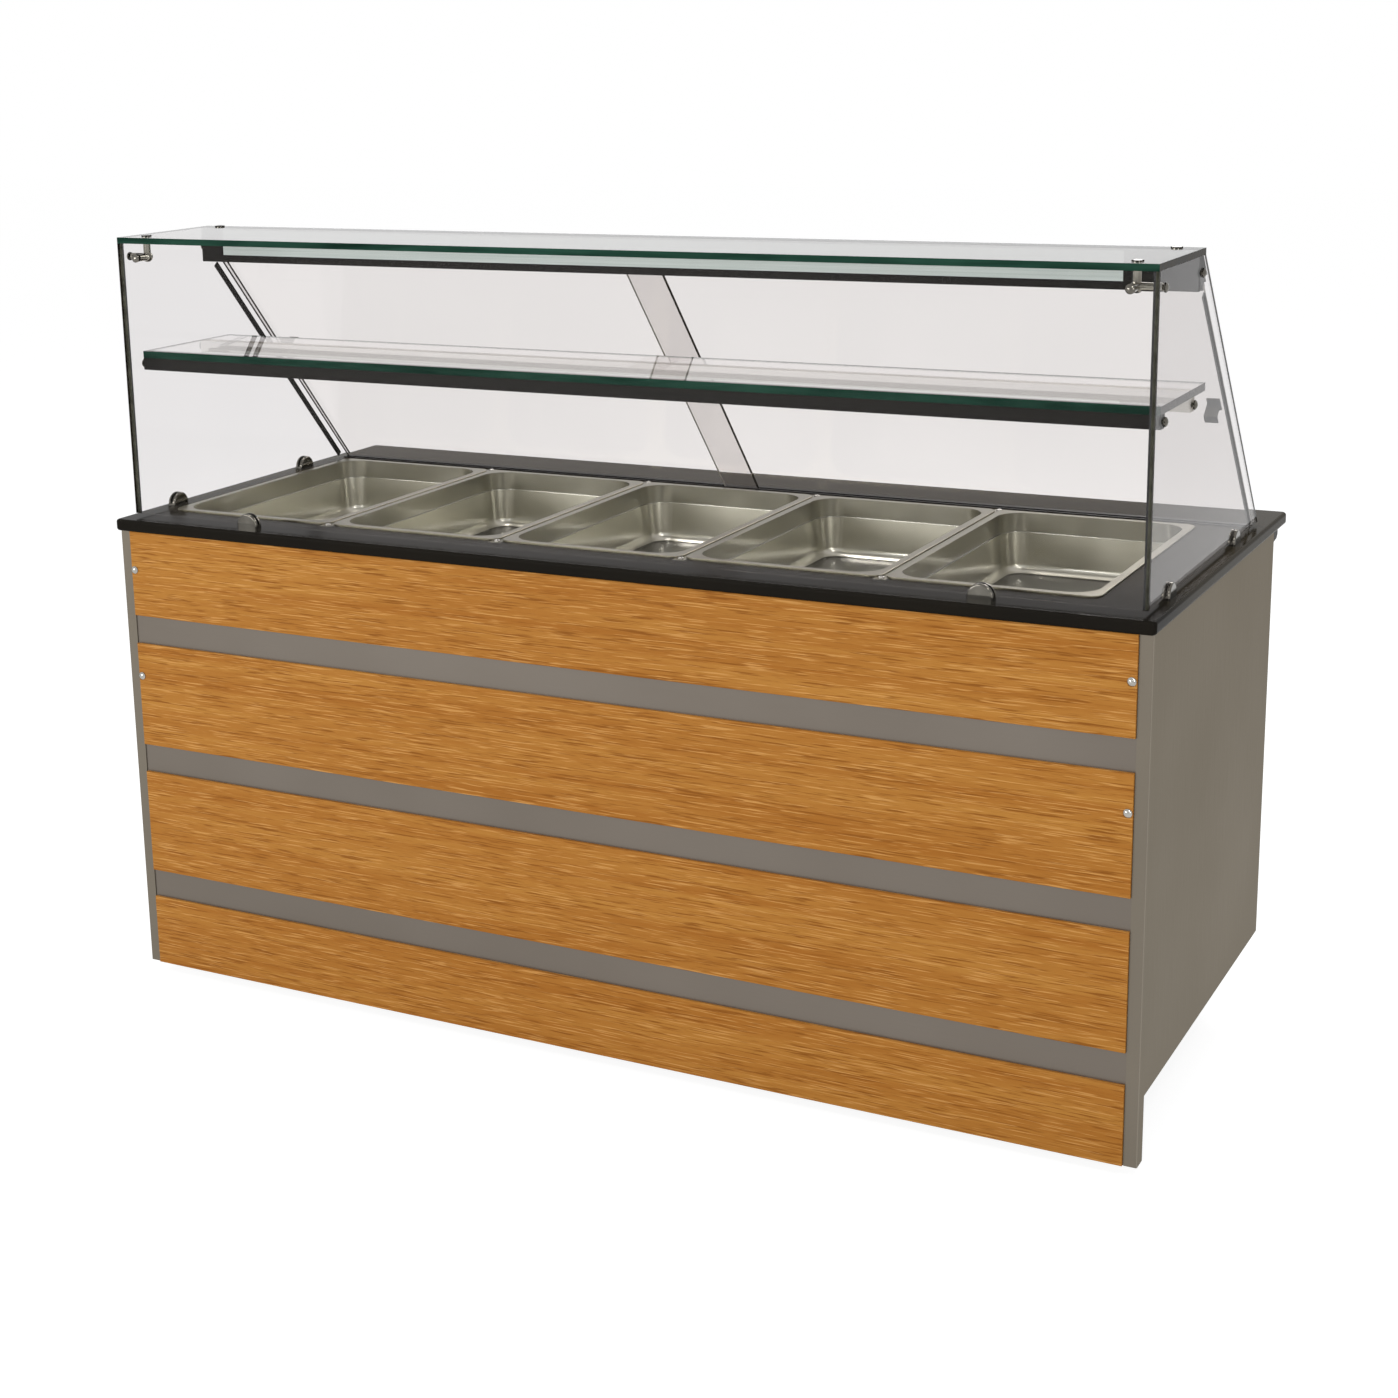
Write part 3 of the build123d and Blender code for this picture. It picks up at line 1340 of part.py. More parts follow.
# Fan motor: round can on the shroud's seat, with its shaft through to the blade
motor_face_y = motor_seat_y - motor_seat_height
with BuildPart() as fan_motor:
    rod((condenser_x, motor_face_y, fan_z), (0, -1, 0), motor_radius, motor_length)
    chamfer(fan_motor.faces().sort_by(Axis.Y)[0].edges(), motor_chamfer)
    shaft_length = fan_rear_y - motor_face_y
    rod((condenser_x, motor_face_y, fan_z), (0, 1, 0), motor_shaft_radius, shaft_length)
save(fan_motor.part, "fan_motor")

# Fan blade: hub with pitched blades
fan_front_y = fan_rear_y - fan_hub_length
fan_mid_y = (fan_front_y + fan_rear_y) / 2
with BuildPart() as fan_blade:
    rod((condenser_x, fan_front_y, fan_z), (0, 1, 0), fan_hub_radius, fan_hub_length)
    for number in range(fan_blade_count):
        turn = math.radians(number * 360 / fan_blade_count)
        pitch = math.radians(fan_blade_angle)
        radial = (math.cos(turn), 0, math.sin(turn))
        around = Vector(-math.sin(turn), 0, math.cos(turn))
        chord_dir = around * math.cos(pitch) + Vector(0, 1, 0) * math.sin(pitch)
        root = Plane(origin=(condenser_x, fan_mid_y, fan_z), x_dir=chord_dir, z_dir=radial)
        with BuildSketch(root.offset(fan_hub_radius / 2)):
            Rectangle(fan_hub_radius, fan_blade_thickness)
        with BuildSketch(root.offset(fan_blade_reach)):
            Rectangle(fan_blade_chord, fan_blade_thickness)
        loft()
    bore_radius = motor_shaft_radius + running_clearance
    rod((condenser_x, fan_front_y, fan_z), (0, 1, 0), bore_radius, fan_hub_length, Mode.SUBTRACT)
save(fan_blade.part, "fan_blade")

# Refrigerant pipes: suction, discharge and liquid lines with the filter drier
suction_y = compressor_y - compressor_radius - stub_length
discharge_x = compressor_x + compressor_radius + stub_length
condenser_right = condenser_x + condenser_edge
drier_y = coil_ys[-1]
drier_top = drier_bottom + drier_length
discharge_turn_x = drier_x - discharge_drier_gap
pipe_condenser_y = condenser_front_y + condenser_depth / 2
liquid_outlet_z = base_top + liquid_outlet_rise
liquid_turn_z = coil_end_z - liquid_drop
pipe_routes = (
    [
        (coil_end_x, coil_ys[0], coil_end_z),
        (coil_end_x, coil_ys[0], suction_stub_z),
        (compressor_x, coil_ys[0], suction_stub_z),
        (compressor_x, suction_y, suction_stub_z),
    ],
    [
        (discharge_x, compressor_y, discharge_stub_z),
        (discharge_turn_x, compressor_y, discharge_stub_z),
        (discharge_turn_x, pipe_condenser_y, discharge_stub_z),
        (condenser_right, pipe_condenser_y, discharge_stub_z),
    ],
    [
        (condenser_right, pipe_condenser_y, liquid_outlet_z),
        (drier_x, pipe_condenser_y, liquid_outlet_z),
        (drier_x, drier_y, liquid_outlet_z),
        (drier_x, drier_y, drier_bottom),
    ],
    [
        (drier_x, drier_y, drier_top),
        (drier_x, drier_y, liquid_turn_z),
        (coil_end_x, coil_ys[-1], liquid_turn_z),
        (coil_end_x, coil_ys[-1], coil_end_z),
    ],
)
with BuildPart() as refrigerant_pipes:
    for points in pipe_routes:
        with BuildLine() as route:
            FilletPolyline(*points, radius=pipe_bend_radius)
        with BuildSketch(Plane(origin=route.line @ 0, z_dir=route.line % 0)):
            Circle(pipe_radius)
        sweep(path=route.line)
    rod((drier_x, drier_y, drier_bottom), (0, 0, 1), drier_radius, drier_length)
save(refrigerant_pipes.part, "refrigerant_pipes")
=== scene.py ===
import json
import math

import bmesh
import bpy
from mathutils import Matrix, Vector


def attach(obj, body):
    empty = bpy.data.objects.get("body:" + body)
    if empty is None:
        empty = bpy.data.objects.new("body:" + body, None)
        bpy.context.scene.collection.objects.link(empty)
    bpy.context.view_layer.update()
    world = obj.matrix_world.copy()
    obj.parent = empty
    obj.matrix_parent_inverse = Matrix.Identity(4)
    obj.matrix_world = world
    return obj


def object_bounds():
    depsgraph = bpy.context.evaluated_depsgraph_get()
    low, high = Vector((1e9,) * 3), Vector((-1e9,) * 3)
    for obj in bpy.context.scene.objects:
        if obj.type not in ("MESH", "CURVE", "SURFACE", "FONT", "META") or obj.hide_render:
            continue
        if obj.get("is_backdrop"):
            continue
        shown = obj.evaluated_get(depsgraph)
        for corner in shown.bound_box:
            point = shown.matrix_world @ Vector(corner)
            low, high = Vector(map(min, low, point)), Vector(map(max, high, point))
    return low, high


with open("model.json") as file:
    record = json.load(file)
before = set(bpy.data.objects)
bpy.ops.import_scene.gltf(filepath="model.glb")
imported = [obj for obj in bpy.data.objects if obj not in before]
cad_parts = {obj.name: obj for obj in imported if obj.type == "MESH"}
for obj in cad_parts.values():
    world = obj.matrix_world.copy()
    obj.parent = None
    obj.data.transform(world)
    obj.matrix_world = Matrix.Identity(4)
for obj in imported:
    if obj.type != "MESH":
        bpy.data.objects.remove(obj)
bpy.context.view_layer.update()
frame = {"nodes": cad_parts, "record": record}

nodes = frame["nodes"]

# Camera of the photograph: place in metres, angles in degrees, lens in millimetres
CAMERA_PLACE = (1.681, -3.371, 1.611)
CAMERA_AZIMUTH = 28.79
CAMERA_ELEVATION = 13.27
CAMERA_ROLL = -1.35
CAMERA_LENS = 58.9
CAMERA_SHIFT = (0.0704, -0.0857)

# Studio: the floor's size, its glow and tone where it is seen, its tone where it lights the
# object, and the strength of the light from the white surroundings
FLOOR_SIZE = 40.0
FLOOR_GLOW = 0.86
FLOOR_ALBEDO = 0.3
FLOOR_BOUNCE = 0.6
AMBIENT = 0.46

# Share of the light that brushed steel mirrors at a grazing angle
STEEL_EDGE_TINT = (0.5, 0.48, 0.45, 1.0)

# Contrast that each finer octave of the noise textures adds
NOISE_ROUGHNESS = 0.55

# Least cosine between a normal and an axis for a face that counts as facing along it
FACING = 0.9

# Places on the counter that the looks and the scene's own pieces need, in metres and radians
WORKTOP_Z = 0.83
WORKTOP_UNDER_Z = 0.81
RIM_Z = 0.826
STONE_PAINTED_SHADE_YS = (-0.36, -0.16)
CROSSBAR_XS = (-0.525, -0.195, 0.135, 0.465)
CROSSBAR_SCREW_YS = (-0.299, 0.231)
SHELF_MIDDLE_Y = -0.22
GLASS_CORNER_X = 0.874
# Depths over which the worktop's painted reflection blends from its dark front tone to its lighter
# rear tone
GLASS_CORNER_Y = -0.36
GLASS_Z = (0.836, 1.297)
REAR_Y = 0.327
SIDE_X = 0.896
KNOB_X = 0.866
CONTROL_Z = 0.784
ROCKER_XS = {"power_switch": 0.778, "light_switch": 0.802}
ROCKER_PIVOT_Y = 0.322
ROCKER_TILT = math.radians(-8)
DOOR_SLANT = math.radians(41)

# Crossbar screw, as pairs of radius and height, with a socket in its dome
SCREW_PROFILE = (
    (0.0052, 0.0), (0.0052, 0.0006), (0.0048, 0.0016), (0.0038, 0.0025), (0.0024, 0.0030),
    (0.0019, 0.0030), (0.0017, 0.0018), (0.0006, 0.0016),
)
SCREW_STEPS = 20

# Corner bead: length of its legs on the glass, and steps of its hollow face
BEAD_LEG = 0.003
BEAD_STEPS = 5

# Overhang bracket: its outline, outwards and upwards, and its width
BRACKET_OUTLINE = ((0.0, 0.0), (0.026, 0.0), (0.026, -0.008), (0.02, -0.014), (0.0, -0.017))
BRACKET_WIDTH = 0.009

# Dial ticks: how many, degrees from one to the next, radii, first half width, its growth, and depth
TICK_COUNT = 11
TICK_STEP = 27
TICK_RADII = (0.0212, 0.0242)
TICK_HALF_WIDTH = 0.00035
TICK_GROWTH = 0.00005
TICK_DEPTH = 0.0002

# Rocker face: its distance from the pivot, and how far it rises over a run from the middle
ROCKER_FACE_OUT = 0.008
ROCKER_RISE = 0.00015
ROCKER_RUN = 0.001

# Marks on a rocker: height off its face, stroke outline, ring radii with their lifts
MARK_LIFT = 0.00025
MARK_STROKE = ((-0.0005, 0.0035), (0.0005, 0.0035), (0.0005, 0.0075), (-0.0005, 0.0075))
MARK_RINGS = ((0.0026, 0.0), (0.0024, MARK_LIFT), (0.0016, MARK_LIFT), (0.0014, 0.0))
MARK_RING_UP = -0.0055
MARK_RING_STEPS = 24


def linear(value):
    """Linear share of light of an 8-bit display value."""
    share = value / 255
    return share / 12.92 if share <= 0.04045 else ((share + 0.055) / 1.055) ** 2.4


def srgb(red, green, blue):
    """Linear colour with full alpha from 8-bit display values."""
    return (linear(red), linear(green), linear(blue), 1.0)


class Look:
    """A material in the making: one Principled shader and the texture nodes that drive it."""

    def __init__(self, name, **sockets):
        self.material = bpy.data.materials.new(name)
        self.material.use_nodes = True
        self.tree = self.material.node_tree
        self.shader = self.tree.nodes["Principled BSDF"]
        for socket, value in sockets.items():
            self.drive(socket.replace("_", " "), value)

    def node(self, kind, inputs=None, **settings):
        """A new node with its settings, and its inputs as values or links."""
        made = self.tree.nodes.new(kind)
        for name, value in settings.items():
            setattr(made, name, value)
        for name, value in (inputs or {}).items():
            self.connect(made.inputs[name], value)
        return made

    def connect(self, socket, value):
        """Set a socket to a value, or link another node's output to it."""
        if isinstance(value, bpy.types.NodeSocket):
            self.tree.links.new(value, socket)
        else:
            socket.default_value = value

    def drive(self, socket, value):
        """Set or link one of the Principled shader's sockets."""
        self.connect(self.shader.inputs[socket], value)

    def noise(self, across, along=None, grain="Z", detail=3.0):
        """Noise with about this many features per metre, drawn out along the grain axis if asked."""
        scale = [across] * 3
        if along is not None:
            scale["XYZ".index(grain)] = along
        place = self.node("ShaderNodeTexCoord").outputs["Object"]
        stretched = self.node("ShaderNodeMapping", {"Vector": place, "Scale": scale})
        settings = {
            "Vector": stretched.outputs["Vector"],
            "Scale": 1.0,
            "Detail": detail,
            "Roughness": NOISE_ROUGHNESS,
        }
        return self.node("ShaderNodeTexNoise", settings).outputs["Fac"]

    def ramp(self, factor, *stops):
        """Colour ramp over a factor, from pairs of position and colour."""
        made = self.node("ShaderNodeValToRGB", {"Fac": factor})
        elements = made.color_ramp.elements
        for _ in range(len(stops) - 2):
            elements.new(0.5)
        for element, (position, colour) in zip(elements, stops):
            element.position = position
            element.color = colour
        return made.outputs["Color"]

    def mix(self, factor, first, second):
        """Two colours mixed by a factor."""
        made = self.node("ShaderNodeMix", data_type="RGBA")
        colours = [socket for socket in made.inputs if socket.type == "RGBA"]
        self.connect(made.inputs[0], factor)
        self.connect(colours[0], first)
        self.connect(colours[1], second)
        return [socket for socket in made.outputs if socket.type == "RGBA"][0]

    def span(self, factor, low, high, start=0.3, end=0.7):
        """A factor's middle range mapped to other limits."""
        limits = {"Value": factor, "From Min": start, "From Max": end, "To Min": low, "To Max": high}
        return self.node("ShaderNodeMapRange", limits).outputs["Result"]

    def bump(self, height, strength, distance):
        """Raise the surface by a height texture, over a distance in metres."""
        inputs = {"Height": height, "Strength": strength, "Distance": distance}
        self.drive("Normal", self.node("ShaderNodeBump", inputs).outputs["Normal"])


def brushed_steel(name, dark, light, grain, roughness):
    """Stainless sheet with a fine brushed grain along one axis and slow tone changes."""
    look = Look(name, Metallic=1.0, Specular_Tint=STEEL_EDGE_TINT)
    fine = look.noise(1500, 14, grain, detail=2)
    broad = look.noise(2.6, detail=2)
    tone = look.mix(look.span(broad, 0.2, 0.8), dark, light)
    look.drive("Base Color", look.mix(look.span(fine, 0.0, 0.3), tone, light))
    look.drive("Roughness", look.span(fine, roughness - 0.05, roughness + 0.07))
    look.bump(fine, 0.1, 0.0001)
    return look.material


def zinc_sheet(name, dark, light):
    """Plain inner sheet with a dull zinc coat in soft cloudy patches."""
    look = Look(name, Metallic=0.35, Specular_IOR_Level=0.3)
    cloud = look.noise(30, detail=3)
    look.drive("Base Color", look.ramp(cloud, (0.3, dark), (0.7, light)))
    look.drive("Roughness", look.span(cloud, 0.48, 0.58))
    return look.material


def drawn_steel(name, dark, light, roughness, film):
    """Satin steel of the pressed pans: soft cloudy tone, faint handling marks and a polished film."""
    look = Look(name, Metallic=1.0, Coat_Weight=film, Coat_Roughness=0.1, Coat_IOR=2.0)
    cloud = look.noise(7, detail=3)
    marks = look.noise(260, 16, "Y", detail=2)
    tone = look.ramp(cloud, (0.3, dark), (0.7, light))
    look.drive("Base Color", look.mix(look.span(marks, 0.0, 0.12), tone, light))
    look.drive("Roughness", look.span(cloud, roughness, roughness + 0.03))
    return look.material


def laminate(name):
    """Wood-grain laminate: light and dark dashes along the board over slow bands of tone."""
    look = Look(name, Specular_IOR_Level=0.1)
    bands = look.noise(60, 1.6, "X", detail=3)
    strokes = look.noise(400, 14, "X", detail=2)
    light_dashes = look.noise(430, 15, "X", detail=2)
    pores = look.noise(640, 26, "X", detail=1)
    tones = ((0.32, srgb(168, 107, 41)), (0.5, srgb(177, 118, 50)), (0.68, srgb(186, 129, 58)))
    ground = look.ramp(bands, *tones)
    wood = look.mix(look.span(strokes, 0.95, 0.0, 0.34, 0.44), ground, srgb(142, 86, 28))
    wood = look.mix(look.span(light_dashes, 0.0, 0.85, 0.56, 0.66), wood, srgb(210, 154, 86))
    look.drive("Base Color", look.mix(look.span(pores, 0.0, 0.5, 0.62, 0.74), wood, srgb(134, 80, 26)))
    look.drive("Roughness", look.span(strokes, 0.42, 0.56))
    look.bump(strokes, 0.08, 0.0003)
    return look.material


def polished_stone(name):
    """Dark polished worktop with a fine even grain; its tone lighter to the rear is painted
    reflection, not a change in the stone.
    """
    look = Look(name, Specular_IOR_Level=0.01)
    grain = look.noise(1100, detail=2)
    cloud = look.noise(7, detail=4)
    # Dark front and lighter rear tones of one stone: painted reflection, blended over the worktop's
    # depth
    front = look.ramp(grain, (0.35, srgb(21, 20, 18)), (0.65, srgb(36, 33, 29)))
    rear = look.ramp(grain, (0.35, srgb(43, 39, 31)), (0.65, srgb(65, 59, 47)))
    place = look.node("ShaderNodeTexCoord").outputs["Object"]
    depth = look.node("ShaderNodeSeparateXYZ", {"Vector": place}).outputs["Y"]
    stone = look.mix(look.span(depth, 0.0, 1.0, *STONE_PAINTED_SHADE_YS), front, rear)
    look.drive("Base Color", look.mix(look.span(cloud, 0.0, 0.3), stone, srgb(40, 36, 29)))
    look.drive("Roughness", look.span(cloud, 0.14, 0.2))
    return look.material


def clear_glass(name, tint, ior):
    """Float glass: bends what is seen through it, mirrors a little and lets lamplight pass."""
    look = Look(name, Transmission_Weight=1.0, IOR=ior, Roughness=0.0)
    clearer = [min(1.0, value * 1.012) for value in tint]
    look.drive("Base Color", look.ramp(look.noise(3, detail=2), (0.3, tint), (0.7, clearer)))
    each_face = [math.sqrt(value) for value in tint]
    through = look.node("ShaderNodeBsdfTransparent", {"Color": each_face})
    path = look.node("ShaderNodeLightPath")
    surface = look.shader.outputs["BSDF"]
    # Lamplight and rays that another surface has mirrored pass the pane straight
    for ray in ("Is Shadow Ray", "Is Reflection Ray"):
        pane = look.node("ShaderNodeMixShader", {"Fac": path.outputs[ray]})
        look.connect(pane.inputs[1], surface)
        look.connect(pane.inputs[2], through.outputs["BSDF"])
        surface = pane.outputs["Shader"]
    look.connect(look.tree.nodes["Material Output"].inputs["Surface"], surface)
    return look.material


def glass_edge(name, dark, light):
    """Ground and polished edge of the glass, with paler streaks along it; apart from the green, its
    tones are painted shade and painted highlight.
    """
    look = Look(name, IOR=1.5, Specular_IOR_Level=0.02)
    streak = look.noise(60, 6, "X", detail=2)
    look.drive("Base Color", look.ramp(streak, (0.3, dark), (0.7, light)))
    look.drive("Roughness", look.span(streak, 0.16, 0.26))
    return look.material


def polished_metal(name, dark, light, roughness):
    """Plated or bare bright metal with faint smears."""
    look = Look(name, Metallic=1.0)
    smear = look.noise(40, detail=3)
    look.drive("Base Color", look.ramp(smear, (0.3, dark), (0.7, light)))
    look.drive("Roughness", look.span(smear, roughness, roughness + 0.06))
    return look.material


def satin_metal(name, dark, light, grain, roughness):
    """Dark coated or anodised profile with faint lines along it."""
    look = Look(name, Metallic=0.3, Specular_IOR_Level=0.12)
    lines = look.noise(700, 5, grain, detail=2)
    look.drive("Base Color", look.ramp(lines, (0.3, dark), (0.7, light)))
    look.drive("Roughness", look.span(lines, roughness - 0.05, roughness + 0.08))
    look.bump(lines, 0.06, 0.0002)
    return look.material


def moulded_plastic(name, dark, light, roughness):
    """Moulded plastic or paint with a fine eggshell texture."""
    look = Look(name, Specular_IOR_Level=0.4)
    eggshell = look.noise(1400, detail=2)
    cloud = look.noise(14, detail=2)
    look.drive("Base Color", look.ramp(cloud, (0.3, dark), (0.7, light)))
    look.drive("Roughness", look.span(eggshell, roughness - 0.06, roughness + 0.08))
    look.bump(eggshell, 0.1, 0.0002)
    return look.material


def milky_cover(name):
    """Milk-white diffuser with a mint cast, faintly lined along its length."""
    look = Look(name, Specular_IOR_Level=0.3)
    lines = look.noise(500, 3, "X", detail=1)
    look.drive("Base Color", look.ramp(lines, (0.3, srgb(204, 216, 210)), (0.7, srgb(220, 230, 225))))
    look.drive("Roughness", look.span(lines, 0.3, 0.42))
    return look.material


def foam(name):
    """Closed-cell foam with visible cells."""
    look = Look(name, Roughness=0.95)
    cells = look.noise(600, detail=3)
    look.drive("Base Color", look.ramp(cells, (0.3, srgb(214, 196, 140)), (0.7, srgb(236, 222, 172))))
    look.bump(cells, 0.5, 0.001)
    return look.material


slot_looks = {
    "stone_top": polished_stone("polished_stone"),
    "brushed_panel": brushed_steel("panel_steel", srgb(126, 119, 107), srgb(139, 132, 121), "Z", 0.44),
    "plain_sheet": zinc_sheet("plain_sheet", srgb(157, 157, 154), srgb(165, 165, 162)),
    "pan_steel": drawn_steel("pan_steel", srgb(162, 159, 144), srgb(178, 175, 161), 0.28, 1.0),
    "laminate_board": laminate("wood_laminate"),
    "clear_glass": clear_glass("front_glass", (0.985, 0.98, 0.98, 1.0), 1.1),
    "chrome_fitting": polished_metal("chrome", srgb(150, 148, 142), srgb(176, 174, 168), 0.06),
    "dark_rail": satin_metal("dark_rail", srgb(24, 23, 21), srgb(34, 32, 29), "X", 0.42),
    "light_cover": milky_cover("light_cover"),
    "light_board": moulded_plastic("light_board", srgb(228, 228, 218), srgb(240, 240, 232), 0.5),
    "track_alloy": satin_metal("black_track", srgb(16, 15, 14), srgb(28, 26, 24), "X", 0.45),
    "foam": foam("foam"),
    "copper_tube": polished_metal("copper", srgb(176, 106, 74), srgb(206, 136, 98), 0.24),
    "black_moulding": moulded_plastic("black_moulding", srgb(18, 18, 18), srgb(30, 30, 30), 0.45),
    "grey_moulding": moulded_plastic("grey_moulding", srgb(88, 88, 90), srgb(104, 104, 106), 0.45),
    "unit_paint": moulded_plastic("unit_paint", srgb(18, 18, 20), srgb(30, 30, 33), 0.3),
    "motor_paint": moulded_plastic("motor_paint", srgb(50, 50, 54), srgb(66, 66, 70), 0.45),
    "fin_alloy": polished_metal("fin_alloy", srgb(172, 174, 176), srgb(196, 198, 200), 0.3),
    "foot_steel": brushed_steel("foot_steel", srgb(130, 130, 130), srgb(155, 155, 155), "Z", 0.3),
}
# Chrome of the clamps, cap bolts, corner connectors and door pulls, darkened in steps below the plain
# chrome: painted reflection of dark surroundings
clamp_painted_reflection_look = polished_metal("chrome_painted_dark_reflection", srgb(84, 81, 75), srgb(112, 109, 102), 0.08)
connector_painted_reflection_look = polished_metal("connector_chrome_painted_reflection", srgb(120, 117, 108), srgb(146, 143, 133), 0.08)
pull_painted_reflection_look = polished_metal("pull_steel_painted_reflection", srgb(52, 49, 43), srgb(78, 74, 66), 0.12)
node_looks = {
    "front_panel": brushed_steel("band_steel", srgb(106, 99, 91), srgb(118, 111, 103), "X", 0.44),
    # The side, top and door panes carry darker tints than one float glass would have, the top pane's
    # darkest: painted shade for the grey these panes show
    "left_side_glass": clear_glass("side_glass", (0.8, 0.785, 0.785, 1.0), 1.12),
    "top_glass": clear_glass("top_glass", (0.53, 0.52, 0.516, 1.0), 1.17),
    "shelf_glass": clear_glass("shelf_glass", (0.96, 0.945, 0.945, 1.0), 1.5),
    "glass_door_left": clear_glass("door_glass", (0.81, 0.785, 0.775, 1.0), 1.2),
    "glass_clamps": clamp_painted_reflection_look,
    "cap_bolts": clamp_painted_reflection_look,
    "corner_connectors": connector_painted_reflection_look,
    "left_door_pull": pull_painted_reflection_look,
    "right_door_pull": pull_painted_reflection_look,
}
node_looks["right_side_glass"] = node_looks["left_side_glass"]
node_looks["glass_door_right"] = node_looks["glass_door_left"]

# Every CAD node takes the look of its record slot, or its own where it differs
for subpart in frame["record"]["subparts"]:
    name = subpart["node"]
    mesh = nodes[name].data
    mesh.materials.clear()
    mesh.materials.append(node_looks.get(name, slot_looks[subpart["material_slot"]]))

# The side panels' front legs are a tone darker than their broad faces: painted shade for the different
# light on the front-facing legs, not a different steel
leg_painted_shade_look = brushed_steel("leg_painted_shade_steel", srgb(109, 102, 91), srgb(122, 115, 104), "Z", 0.44)
for name in ("left_side_panel", "right_side_panel"):
    mesh = nodes[name].data
    mesh.materials.append(leg_painted_shade_look)
    for polygon in mesh.polygons:
        polygon.material_index = 1 if polygon.normal.y < -FACING else 0

# Pan rims, crossbars and bowl floors are duller than the drawn walls, with a thinner polished film;
# their darker tones are painted reflection, not a different steel
rim_painted_reflection_look = drawn_steel("rim_painted_reflection_steel", srgb(106, 101, 84), srgb(122, 117, 99), 0.28, 0.1)
bowl_floor_painted_reflection = drawn_steel("bowl_floor_painted_reflection_steel", srgb(60, 58, 51), srgb(74, 72, 64), 0.28, 0.3)
for name in ("pan_1", "pan_2", "pan_3", "pan_4", "pan_5", "crossbars"):
    mesh = nodes[name].data
    mesh.materials.append(rim_painted_reflection_look)
    mesh.materials.append(bowl_floor_painted_reflection)
    for polygon in mesh.polygons:
        if polygon.center.z > RIM_Z:
            polygon.material_index = 1
        else:
            polygon.material_index = 2 if polygon.normal.z > FACING else 0

# The rear shelf rail is bright steel
rails = nodes["shelf_rails"].data
rails.materials.append(brushed_steel("rail_steel", srgb(176, 172, 164), srgb(192, 188, 180), "X", 0.3))
for polygon in rails.polygons:
    polygon.material_index = 1 if polygon.center.y > SHELF_MIDDLE_Y else 0

# Glass panes show an edge look on every face that isn't one of the two broad ones. The green edge is
# the glass's own colour; the dark and grey edges are painted shade and the pale edge is a painted
# highlight, for how the edges catch light.
green_edge = glass_edge("green_edge", srgb(30, 62, 50), srgb(62, 108, 90))
painted_shade_edge = glass_edge("painted_shade_edge", srgb(38, 34, 27), srgb(66, 59, 48))
grey_painted_shade_edge = glass_edge("grey_painted_shade_edge", srgb(94, 94, 82), srgb(126, 125, 110))
painted_highlight_edge = glass_edge("painted_highlight_edge", srgb(198, 196, 185), srgb(232, 230, 220))
slant_normal = Vector((0, math.cos(DOOR_SLANT), math.sin(DOOR_SLANT)))
upright, sideways, depthways = Vector((0, 0, 1)), Vector((1, 0, 0)), Vector((0, 1, 0))
panes = {
    "front_glass": (depthways, sideways, painted_shade_edge, painted_shade_edge),
    "left_side_glass": (sideways, depthways, painted_shade_edge, grey_painted_shade_edge),
    "right_side_glass": (sideways, depthways, painted_shade_edge, grey_painted_shade_edge),
    "top_glass": (upright, sideways, green_edge, painted_shade_edge),
    "shelf_glass": (upright, sideways, green_edge, painted_shade_edge),
    "glass_door_left": (slant_normal, sideways, painted_shade_edge, painted_shade_edge),
    "glass_door_right": (slant_normal, sideways, painted_shade_edge, painted_highlight_edge),
}
for name, (broad, end, edge, end_edge) in panes.items():
    mesh = nodes[name].data
    mesh.materials.append(edge)
    mesh.materials.append(end_edge)
    for polygon in mesh.polygons:
        if abs(polygon.normal.dot(broad)) > FACING:
            polygon.material_index = 0
        else:
            polygon.material_index = 2 if abs(polygon.normal.dot(end)) > FACING else 1


def add_piece(name, form, look, body):
    """Turn a bmesh into a named piece that rides on a body."""
    mesh = bpy.data.meshes.new(name)
    bmesh.ops.recalc_face_normals(form, faces=form.faces)
    form.to_mesh(mesh)
    form.free()
    mesh.materials.append(look)
    piece = bpy.data.objects.new(name, mesh)
    bpy.context.scene.collection.objects.link(piece)
    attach(piece, body)


def join_loops(form, first, second):
    """Add the side faces between two closed loops of as many vertices to a bmesh."""
    faces = []
    for index in range(len(first)):
        after = (index + 1) % len(first)
        corners = (first[index], first[after], second[after], second[index])
        faces.append(form.faces.new(corners))
    return faces


def turn_profile(form, profile, place, steps):
    """Add a turned shape to a bmesh: pairs of radius and height spun about an upright axis."""
    rings = []
    for radius, height in profile:
        ring = []
        for step in range(steps):
            angle = 2 * math.pi * step / steps
            spot = Vector((radius * math.cos(angle), radius * math.sin(angle), height))
            ring.append(form.verts.new(spot + Vector(place)))
        rings.append(ring)
    for lower, upper in zip(rings, rings[1:]):
        for face in join_loops(form, lower, upper):
            face.smooth = True
    form.faces.new(rings[-1])
    form.faces.new(list(reversed(rings[0])))


def add_prism(form, first, second):
    """Add a closed prism to a bmesh, between two outlines of as many points."""
    low = [form.verts.new(point) for point in first]
    high = [form.verts.new(point) for point in second]
    form.faces.new(list(reversed(low)))
    form.faces.new(high)
    join_loops(form, low, high)


# Crossbar screws: small domes with a socket, one at each end of each crossbar
screws = bmesh.new()
for x in CROSSBAR_XS:
    for y in CROSSBAR_SCREW_YS:
        turn_profile(screws, SCREW_PROFILE, (x, y, WORKTOP_Z), SCREW_STEPS)
add_piece("crossbar_screws", screws, slot_looks["chrome_fitting"], "cabinet")

